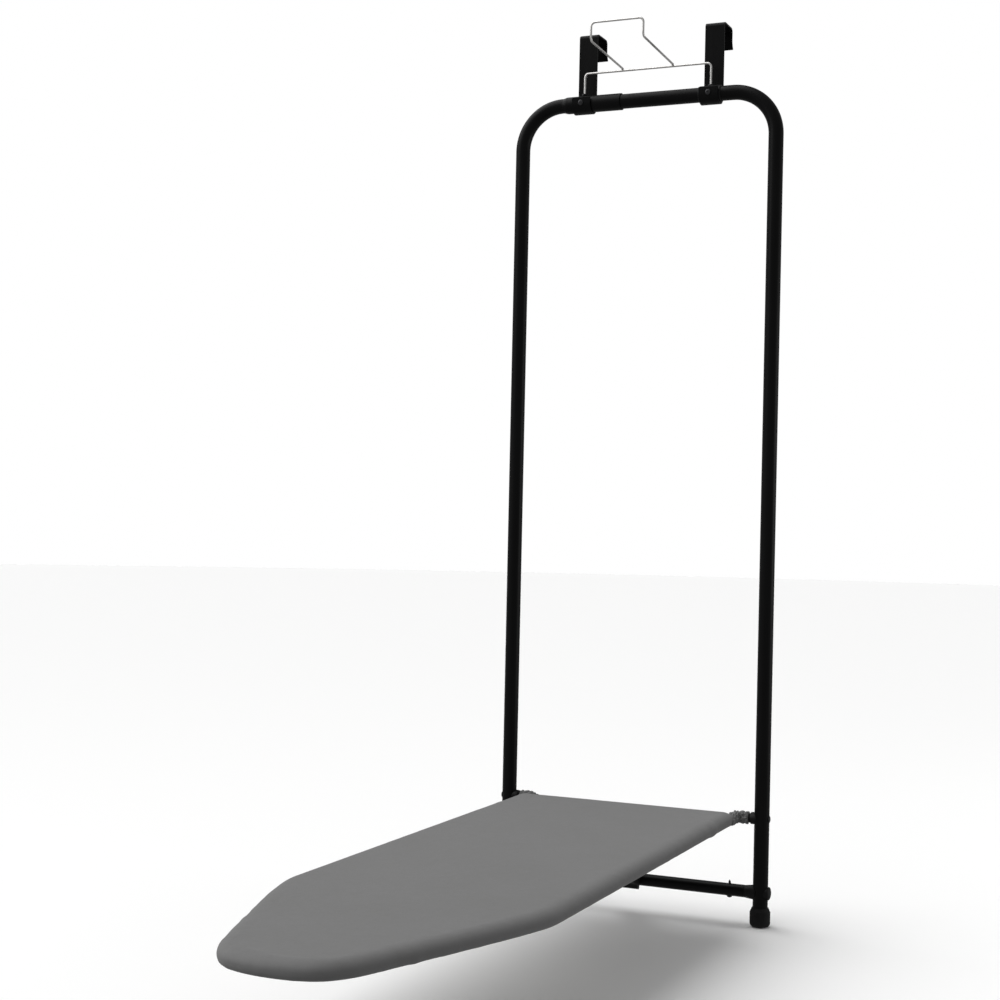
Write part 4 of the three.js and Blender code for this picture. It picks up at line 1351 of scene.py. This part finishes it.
def spine(point):
    return Vector((0, min(max(point.y, boardTip + 70), boardRear - 150)))


# rings of the outline at each (inset, z) of a profile, then inwards to the middle line
def layeredSkin(profile, inwardSteps, density, shapePoint):
    rings, flats = [], []
    lastInset, lastHeight = profile[-1]
    travelled = [0.0]
    for (i0, z0), (i1, z1) in zip(profile, profile[1:]):
        travelled.append(travelled[-1] + math.hypot(i1 - i0, z1 - z0))
    total = travelled[-1]
    base = wholeOutline(0, density)
    outward = []
    for i in range(len(base)):
        along = (base[(i + 1) % len(base)] - base[i - 1]).normalized()
        outward.append(Vector((-along.y, along.x)) * (1 if along.length else 0))
    if outward[0].y < 0:
        outward = [-n for n in outward]
    for (inset, z), way in zip(profile, travelled):
        ring = wholeOutline(inset, density)
        rings.append([shapePoint(p, z, inset, i / len(ring)) for i, p in enumerate(ring)])
        reach = total - way - lastInset
        flats.append([b + n * reach for b, n in zip(base, outward)])
    ring = wholeOutline(lastInset, density)
    for k in range(1, inwardSteps + 1):
        share = (k / inwardSteps) ** 1.15
        flat = [p.lerp(spine(p), share) for p in ring]
        rings.append([shapePoint(p, lastHeight, lastInset + 50 * share + 1, i / len(ring))
                      for i, p in enumerate(flat)])
        flats.append(flat)
    return rings, flats


def skinObject(name, rings, flats, look):
    bm = bmesh.new()
    uvLayer = bm.loops.layers.uv.new("surface")
    grid = [[bm.verts.new(onBoard(*p)) for p in ring] for ring in rings]
    count = len(grid[0])
    for k in range(len(grid) - 1):
        for i in range(count):
            j = (i + 1) % count
            face = bm.faces.new((grid[k][i], grid[k][j], grid[k + 1][j], grid[k + 1][i]))
            for loop, spot in zip(face.loops, (flats[k][i], flats[k][j],
                                               flats[k + 1][j], flats[k + 1][i])):
                loop[uvLayer].uv = (spot.x * mm, spot.y * mm)
    bmesh.ops.remove_doubles(bm, verts=[v for ring in grid[-1:] for v in ring], dist=1e-4)
    return newObject(name, bm, look, sharp=0)


def thicken(made, thickness):
    shell = made.modifiers.new("clothThickness", "SOLIDIFY")
    shell.thickness = thickness * mm
    shell.offset = -1


def padPoint(p, z, *_):
    lift = 0.25 * noise.noise(Vector((p.x, p.y, 3)) * 0.02)
    return (p.x, p.y, z + (lift if z > pad["bottom"] + 1 else 0))


def makePad():
    low, high, inset = pad["bottom"], pad["top"], pad["inset"]
    space = cover["thickness"] + pad["gap"]
    profile = [(inset + step, low) for step in (40, 14, 4, 0.6)]
    profile += [(inset + step, min(high, coverEdge(inset + step) - space))
                for step in (0.6, 1.6, 3, 5, 7, 9, 11, 13, 15, 20)]
    rings, flats = layeredSkin(profile, 14, 0.5, padPoint)
    ring = wholeOutline(profile[0][0], 0.5)
    under = []
    for k in range(12, 0, -1):      # underside back to the middle
        under.append([(q.x, q.y, low) for q in (p.lerp(spine(p), k / 12) for p in ring)])
    rings = under + rings
    flats = [[Vector((p[0], p[1])) for p in r] for r in under] + flats
    made = skinObject("feltPad", rings, flats, "felt")
    bm = bmesh.new()
    bm.from_mesh(made.data)
    bmesh.ops.remove_doubles(bm, verts=bm.verts, dist=1e-5)
    bmesh.ops.recalc_face_normals(bm, faces=bm.faces)
    bm.to_mesh(made.data)
    bm.free()
    assign(made, "board", "felt", "board_pad")


def smoothStep(value, low, high):
    t = min(max((value - low) / (high - low), 0), 1)
    return t * t * (3 - 2 * t)


# soft random folds, long across the edge and short along it
def wrinkle(p, seed, length):
    return noise.noise(Vector((p.x / length, p.y / length, seed)))


# how far a place is into a rear corner, from 0 to 1
def rearShare(x, y, across, along):
    start, end = cover[along]
    return (smoothStep(abs(x), *cover[across])
            * smoothStep(y, boardRear - start, boardRear - end))


# moves a point of the smooth cover to where the stretched cloth really lies
def coverPoint(p, z, inset, share):
    x, y = p.x, p.y
    slackFrom, slackTo = cover["noseSlack"]
    # more cloth is drawn in at the nose
    belly = smoothStep(y, boardTip + slackFrom, boardTip + slackTo)
    corner = rearShare(x, y, "cornerAcross", "cornerAlong")
    restless = 0.45 + 0.9 * belly + 1.1 * corner
    if z >= cover["top"] - 1e-6:      # top
        lift = cover["topWaviness"] * wrinkle(p, 5, cover["topFolds"][0])
        ripple = 0.4 * restless * wrinkle(p, 9, cover["topFolds"][1]) * smoothStep(inset, 40, 6)
        return (x, y, z + min(lift + ripple, 0.6))
    outward = Vector((x - spine(p).x, y - spine(p).y)).normalized()
    if z > cover["bottom"] + 0.6 or inset < cover["turnUnder"]:      # skirt
        amount = cover["skirtWrinkle"] * restless * (
            wrinkle(p, 1, cover["skirtFolds"][0])
            + 0.55 * wrinkle(p, 2, cover["skirtFolds"][1]))
        loose = rearShare(x, y, "bulgeAcross", "bulgeAlong")
        amount += cover["cornerBulge"] * loose * (max(wrinkle(p, 12, cover["bulgeLength"]), 0) - 0.1)
        amount = max(amount, -0.9)
        return (x + outward.x * amount, y + outward.y * amount,
                z - 0.35 * abs(amount) * (1 if z < 0 else -0.3))
    # turned under and gathered towards the hem
    gather = smoothStep(inset, cover["turnUnder"], cover["hem"] - 6)
    keepFlat = smoothStep(abs(x), 60, 28) * smoothStep(y, boardRear - 90, boardRear - 60)
    phase = share * 2 * math.pi
    folds = 0.5 + 0.5 * math.sin(phase * cover["hemFolds"] + 3.2 * wrinkle(p, 4, 60))
    folds = folds * (0.55 + 0.45 * wrinkle(p, 6, 45) * 2)
    drop = cover["hemGather"] * gather * max(folds, 0) * (0.5 + 0.7 * belly) * (1 - keepFlat)
    return (x, y, z - drop)


def makeCover():
    top, bottom, hem = cover["top"], cover["bottom"], cover["hem"]
    topReach, under = cover["topReach"], cover["turnUnder"]
    fold, rise = cover["hemFold"], cover["hemFoldRise"]
    profile = [(hem - 0.3, bottom + 0.9), (hem, bottom + 0.3), (hem - 0.2, bottom - rise * 0.6),
               (hem - 0.9, bottom - rise)]
    profile += [(hem - fold * k / 4, bottom - rise) for k in range(1, 4)]
    profile += [(hem - fold, bottom - rise), (hem - fold - 0.6, bottom - rise * 0.4),
                (hem - fold - 1.2, bottom)]
    reach = hem - fold - 1.2 - under
    profile += [(under + reach * (1 - k / 7), bottom) for k in range(1, 8)]
    profile += [(under - under * math.sin(a), bottom + under - under * math.cos(a))
                for a in (math.pi / 2 * k / 7 for k in range(1, 8))]
    profile += [(topReach * (1 - math.cos(a)), coverEdge(topReach * (1 - math.cos(a))))
                for a in (math.pi / 2 * k / 12 for k in range(0, 12))]
    profile += [(topReach, top), (topReach + 4, top)]
    rings, flats = layeredSkin(profile, 26, 1.0, coverPoint)
    made = skinObject("boardCover", rings, flats, "cloth")
    thicken(made, cover["thickness"])
    assign(made, "board", "cloth", "board_cover")
    edge = flats[0]
    area = abs(sum(a.x * b.y - b.x * a.y for a, b in zip(edge, edge[1:] + edge[:1]))) / 2 * mm * mm
    width = (max(p.x for p in edge) - min(p.x for p in edge)) * mm
    length = (max(p.y for p in edge) - min(p.y for p in edge)) * mm
    print(f"cover cut from {width:.3f} by {length:.3f} m, {area:.3f} square metres")
    return made, (width, length), area, rings[cover["seamRing"]]


def makeHemStitches(line):
    bm = bmesh.new()
    verts = [bm.verts.new(onBoard(p[0], p[1], p[2] - 0.1)) for p in line]
    for i in range(len(verts)):
        bm.edges.new((verts[i], verts[(i + 1) % len(verts)]))
    base = linked("seamLine", bm)
    made = grow(base, stitches, {
        "Stitch Pitch": cover["stitchPitch"] * mm, "Stitch Length": cover["stitchLength"] * mm,
        "Thread Thickness": cover["threadThickness"] * mm,
        "Material": finishes["thread"][0]}, "hemStitches")
    made.data.shade_smooth()
    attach(made, "board")
    return made


gather = {
    "startIn": 15.0, "rings": 52, "sides": 110, "thickness": 0.35, "crinkle": 1.5,
    # share of the sleeve's length and its radius there
    "armProfile": [(0, 6.9), (0.22, 7.1), (0.36, 8.3), (0.52, 7.3), (0.64, 8.2), (0.78, 7.6),
                   (0.9, 8.3), (1.0, 6.8)],
    "neckProfile": [(0, 6.6), (0.2, 8.1), (0.42, 8.9), (0.62, 7.6), (0.8, 8.6), (0.93, 8.2),
                    (1.0, 6.2)],
}


# a sleeve of cloth drawn up in small uneven folds round a straight bar
def crumpledSleeve(bm, uvLayer, start, along, profile, least, seed):
    length, rings, sides = along.length, gather["rings"], gather["sides"]
    ahead = along.normalized()
    first = Vector((0, 0, 1))
    second = ahead.cross(first)
    grid = []
    for r in range(rings + 1):
        share = r / rings
        for (s0, r0), (s1, r1) in zip(profile, profile[1:]):
            if s0 <= share <= s1:
                radius = r0 + (r1 - r0) * smoothStep(share, s0, s1)
        ring = []
        for k in range(sides):
            a = 2 * math.pi * k / sides
            spot = Vector((math.cos(a) * 2.2, math.sin(a) * 2.2, share * length / 10 + seed * 7))
            folds = (0.9 * noise.noise(spot * 1.3) - 2.2 * abs(noise.noise(spot * 2.3)) + 0.5
                     + 0.45 * math.sin(a * 9 + share * 11 + 6 * noise.noise(spot * 0.8)))
            across = radius + gather["crinkle"] * folds
            across = min(max(across, least), 9.8)
            shift = 0.8 * noise.noise(spot * 1.7 + Vector((5, 5, 5)))
            place = start + ahead * (min(max(length * share + shift, 0), length))
            place += (first * math.cos(a) + second * math.sin(a)) * across
            ring.append(bm.verts.new(onBoard(*place)))
        grid.append(ring)
    for r in range(rings):
        for k in range(sides):
            j = (k + 1) % sides
            face = bm.faces.new((grid[r][k], grid[r][j], grid[r + 1][j], grid[r + 1][k]))
            for loop, (u, v) in zip(face.loops, ((k, r), (k + 1, r), (k + 1, r + 1), (k, r + 1))):
                loop[uvLayer].uv = (u * 55 * mm / sides, v * length * mm / rings)


# the end of the cover, tied round the rail and the pivot's neck
def makeGather(side, name):
    low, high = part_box(f"cover_gather_{name}")
    armStart = (low[1] - tubePlane) / mm - gather["startIn"]
    neckEnd = max(abs(low[0]), abs(high[0])) / mm
    bm = bmesh.new()
    uvLayer = bm.loops.layers.uv.new("surface")
    crumpledSleeve(bm, uvLayer, Vector((side * railX, armStart, 0)),
                   Vector((0, 5.5 - armStart, 0)), gather["armProfile"], 6.7, side)
    crumpledSleeve(bm, uvLayer, Vector((side * (railX + 3), 0, 0)),
                   Vector((side * (neckEnd - railX - 3), 0, 0)), gather["neckProfile"], 6.05,
                   side + 4)
    made = newObject(f"coverGather{name.capitalize()}", bm, "cloth", sharp=0)
    thicken(made, gather["thickness"])
    assign(made, "board", "cloth", f"cover_gather_{name}")


makePad()
coverPiece, coverCut, coverArea, seamLine = makeCover()
hemStitches = makeHemStitches(seamLine)
makeGather(-1, "left")
makeGather(1, "right")
print("pad and cover made")


prop = {
    "width": 36.0, "height": 14.0, "wall": 1.5, "startBack": -8.0, "endShort": 42.0,
    "saddleWidth": 38.0, "clipWall": 1.2,
    "rivetRadius": 1.6,
}
hingeY = (hingePlace.y - tubePlane) / mm
hingeDrop = (pivotHeight - hingePlace.z) / mm
propRun = Vector((-hingeY, (hingePlace.z - crossbarHeight) / mm))
propLength = propRun.length
propAngle = math.atan2(propRun.y, propRun.x)
propPlace = Matrix.Translation(hingePlace) @ Matrix.Rotation(-propAngle, 4, "X")
memberBottom = (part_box("cross_member_1")[0][2] - pivotHeight) / mm
rivetX = middleOf("bracket_rivet_right").x


def makeBracket():
    low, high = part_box("prop_bracket")
    half = (high[0] - low[0]) / 2 / mm
    shape = channelShape(half, (low[2] - pivotHeight) / mm, (high[2] - pivotHeight) / mm, 2.0,
                         2.6, False)
    made = prismPart("propBracket", "paint", [(p.x, p.y + pivotHeight / mm) for p in shape],
                     low[1], high[1], "Y", bevel=0.3 * mm, sharp=50)
    assign(made, "board", "paint", "prop_bracket")


def rivetPart():
    radius = prop["rivetRadius"]
    top, low = board["memberWall"] + clearance, -0.3
    return turnedPart("rivetPart", "fixing", [
        (0, low - 3.3), (1.2, low - 3.22), (2.2, low - 3.0), (2.95, low - 2.5), (3.1, low - 2.0),
        (radius, low - 2.0), (radius, top), (2.5, top), (2.6, top + 0.3), (2.1, top + 0.9),
        (1.2, top + 1.1), (0, top + 1.1)
    ], sides=28)


def makeBoardRivets():
    places = [(-rivetX, hingePlace.y, pivotHeight + memberBottom * mm),
              (rivetX, hingePlace.y, pivotHeight + memberBottom * mm),
              (0, memberPlaces[0], pivotHeight + (memberBottom + 0.8) * mm)]
    made = fitAt("boardRivets", rivetPart(), "fixing", places, [(0, 0, 0)] * 3)
    markSharp(made, 32)
    assign(made, "board", "fixing", "bracket_rivet_left", "bracket_rivet_right",
                  "clip_rivet")


def makeHingePin():
    reach = prop["width"] / 2 + 2.8
    made = turnedPart("propHingePin", "fixing", [
        (0, -reach - 2.4), (2.4, -reach - 2.3), (4, -reach - 2), (4.8, -reach - 1.2), (5, -reach),
        (3, -reach), (3, reach + 0.4), (4.5, reach + 0.4), (4.6, reach + 0.8), (4.3, reach + 1.7),
        (2.6, reach + 2.6), (0, reach + 2.6)
    ], alongX, hingePlace, 40)
    assign(made, "board", "fixing", "prop_hinge_pin")


def makeClip():
    half, wall = prop["width"] / 2 + clearance, prop["clipWall"]
    low, top = -hingeDrop - 4, memberBottom - 0.3
    line = [(-half - 4, low - 3), (-half - 2.2, low - 1.7), (-half - wall / 2, low + 0.3),
            (-half - wall / 2, low + 3), (-half - wall / 2, top - wall / 2 - 1.6)]
    line += arc((-half - wall / 2 + 1.6, top - wall / 2 - 1.6), 1.6, math.pi, math.pi / 2, 5)
    line = line + [(-p[0], p[1]) for p in reversed(line)]
    shape = [(p[0], p[1] + pivotHeight / mm) for p in strap(line, wall)]
    front, back = (corner[1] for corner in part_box("prop_clip"))
    made = prismPart("propClip", "spring", shape, front, back, "Y", bevel=0.2 * mm, sharp=50)
    assign(made, "board", "spring", "prop_clip")


def makePropChannel():
    half, high = prop["width"] / 2, prop["height"] / 2
    shape = channelShape(half, -high, high, prop["wall"], 2.4, False)
    start, end = prop["startBack"] * mm, (propLength - prop["endShort"]) * mm
    bm = bmesh.new()
    prism(bm, shape, start, end, "Y")
    bmesh.ops.transform(bm, verts=bm.verts, matrix=propPlace)
    made = newObject("propChannel", bm, "paint", bevel=0.3 * mm, sharp=50)
    assign(made, "prop", "paint", "prop_channel")


def makeSaddle():
    seat = crossbar["radius"] + clearance
    rim, top = seat + 4.5, math.pi / 2 + propAngle
    line = arc((propLength - seat - 4, -12), 4, -math.pi / 2, 0, 6)
    line += [(propLength - seat, 0)]
    line += arc((propLength, 0), seat, math.pi, top, 16)
    line += arc((propLength, 0), rim, top, top + 0.7, 8)
    line += [(propLength - 24, 8.5), (propLength - 39.4, 8.5), (propLength - 40, 7.8),
             (propLength - 40, -7.8), (propLength - 39.4, -8.5), (propLength - 20.4, -9.9),
             (propLength - 18.6, -10.8), (propLength - 17.4, -13), (propLength - 16.2, -15),
             (propLength - 14.6, -15.9)]
    half = prop["saddleWidth"] / 2 * mm
    bm = bmesh.new()
    prism(bm, line, -half, half, "X")
    inside = (prop["width"] / 2 - prop["wall"] - clearance) * mm
    tongue = [(propLength - 70, -6), (propLength - 39, -6), (propLength - 39, 5.2),
              (propLength - 70, 5.2)]
    prism(bm, tongue, -inside, inside, "X")
    bmesh.ops.transform(bm, verts=bm.verts, matrix=propPlace)
    made = newObject("propSaddle", bm, "plastic", bevel=0.5 * mm, sharp=40, weld=False)
    assign(made, "prop", "plastic", "prop_saddle")


def makeSaddleRivet():
    reach = prop["width"] / 2 + clearance
    bm = bmesh.new()
    turned(bm, [(0, -reach - 1.4), (1.4, -reach - 1.34), (2.4, -reach - 1.1), (3.4, -reach - 0.4),
                (3.6, -reach), (2, -reach), (2, reach), (3.6, reach), (3.4, reach + 0.4),
                (2.4, reach + 1.1), (1.4, reach + 1.34), (0, reach + 1.4)], alongX,
           (0, (propLength - 56) * mm, 0), 32)
    bmesh.ops.transform(bm, verts=bm.verts, matrix=propPlace)
    made = newObject("saddleRivet", bm, "fixing")
    assign(made, "prop", "fixing", "saddle_rivet")


makeBracket()
makeBoardRivets()
makeHingePin()
makeClip()
makePropChannel()
makeSaddle()
makeSaddleRivet()
print("prop made")
